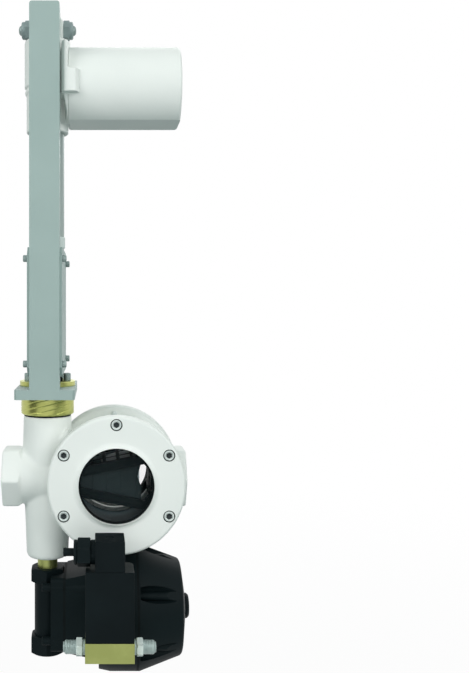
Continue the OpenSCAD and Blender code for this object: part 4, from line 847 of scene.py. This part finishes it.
# Camera: square to the front, as far away as the photograph's perspective says
shot = {"place": (0.09085, -0.8, 0.1643), "sensor": 36, "lens": 36 * 800 / 673, "shiftX": 0.2073, "shiftY": -0.0379}
cameraData = bpy.data.cameras.new("camera")
cameraData.sensor_width = shot["sensor"]
cameraData.lens = shot["lens"]
cameraData.shift_x = shot["shiftX"]
cameraData.shift_y = shot["shiftY"]
cameraData.clip_start = 0.01
cameraData.clip_end = 50
camera = bpy.data.objects.new("camera", cameraData)
camera.location = shot["place"]
camera.rotation_euler = (math.radians(90), 0, 0)
bpy.context.scene.collection.objects.link(camera)
bpy.context.scene.camera = camera

# Two softboxes, a low fill that metal doesn't mirror, and a lamp behind
studio = {
    "leftBox": {"place": (-1.05, -1.15, 0.85), "size": 0.9, "power": 13, "mirrored": True},
    "rightBox": {"place": (1.25, -1.15, 0.85), "size": 0.9, "power": 13, "mirrored": True},
    "fill": {"place": (0.15, -1.6, -0.1), "size": 0.9, "power": 5, "mirrored": False},
    "back": {"place": (0.3, 1.0, 0.9), "size": 1.0, "power": 6, "mirrored": True},
}
lampAim = Vector((0.08, 0, 0.12))
for name, lamp in studio.items():
    data = bpy.data.lights.new(name, "AREA")
    data.energy = lamp["power"]
    data.size = lamp["size"]
    light = bpy.data.objects.new(name, data)
    light.location = lamp["place"]
    light.visible_glossy = lamp["mirrored"]
    light.rotation_euler = (lampAim - light.location).to_track_quat("-Z", "Y").to_euler()
    bpy.context.scene.collection.objects.link(light)


def whiteSeen(tree):
    # 1 where the camera, a mirror or a glass looks at it
    path = tree.tree.nodes.new("ShaderNodeLightPath")
    seen = [Wire(tree.tree, path.outputs[name]) for name in
            ("Is Camera Ray", "Is Glossy Ray", "Is Transmission Ray")]
    return tree.maths("MINIMUM", seen[0] + seen[1] + seen[2], 1.0)


backdrop = {"shade": (0.8, 1.0, 0.98, 1), "light": 0.3, "white": (1, 1, 1, 1), "seen": 1.0}
world = bpy.data.worlds.new("studio")
world.use_nodes = True
world.node_tree.nodes.clear()
sky = Wire(world.node_tree)
dim = sky.add("ShaderNodeBackground", None, {"Color": backdrop["shade"], "Strength": backdrop["light"]})
bright = sky.add("ShaderNodeBackground", None, {"Color": backdrop["white"], "Strength": backdrop["seen"]})
mixed = sky.add("ShaderNodeMixShader", None, {0: whiteSeen(sky), 1: dim, 2: bright})
sky.add("ShaderNodeOutputWorld", None, {"Surface": mixed})
bpy.context.scene.world = world

floorLook = {"height": -0.6, "reach": 12, "matt": (0.2, 0.27, 0.27, 1), "near": 0.3, "far": 3.0, "white": 0.96}
floorMesh = bmesh.new()
bmesh.ops.create_grid(floorMesh, x_segments=1, y_segments=1, size=floorLook["reach"])
bmesh.ops.translate(floorMesh, verts=floorMesh.verts, vec=(0, 0, floorLook["height"]))
floor = shown(floorMesh, "floor")
floorMaterial, floorTree = newTree("pale floor")
matt = floorTree.add("ShaderNodeBsdfDiffuse", None, {"Color": floorLook["matt"]})
glow = floorTree.add("ShaderNodeEmission", None, {"Color": backdrop["white"], "Strength": backdrop["seen"]})
# the floor runs out into the white behind it
floorPlace = floorTree.add("ShaderNodeTexCoord", output=3)
spread = floorTree.add("ShaderNodeVectorMath", {"operation": "LENGTH"}, {0: floorPlace}, 1)
faded = contrast(floorTree, spread, floorLook["near"], floorLook["far"])
plain = floorLook["white"] + (1 - floorLook["white"]) * faded
seenFloor = floorTree.add("ShaderNodeMixShader", None, {0: plain * whiteSeen(floorTree), 1: matt, 2: glow})
closeTree(floorTree, seenFloor)
floor.data.materials.append(floorMaterial)

# Dark cards at both sides that only reflections see, so that turned brass and steel show bands
cards = {"leftCard": {"place": (-1.28, -0.7, 0.1), "half": 0.55, "grey": 0.03},
         "rightCard": {"place": (1.3, -0.8, 0.1), "half": 0.7, "grey": 0.22}}
cardAim = Vector((0.08, 0, 0.1))
for name, card in cards.items():
    sheet = bmesh.new()
    bmesh.ops.create_grid(sheet, x_segments=1, y_segments=1, size=card["half"])
    made = shown(sheet, name)
    made.location = card["place"]
    made.rotation_euler = (cardAim - made.location).to_track_quat("Z", "Y").to_euler()
    cardMaterial, cardTree = newTree(name)
    closeTree(cardTree, cardTree.add("ShaderNodeEmission", None, {"Strength": card["grey"]}))
    made.data.materials.append(cardMaterial)
    made.visible_camera = made.visible_diffuse = made.visible_shadow = made.visible_transmission = False
bpy.context.scene.view_settings.view_transform = "Standard"
print("studio set")
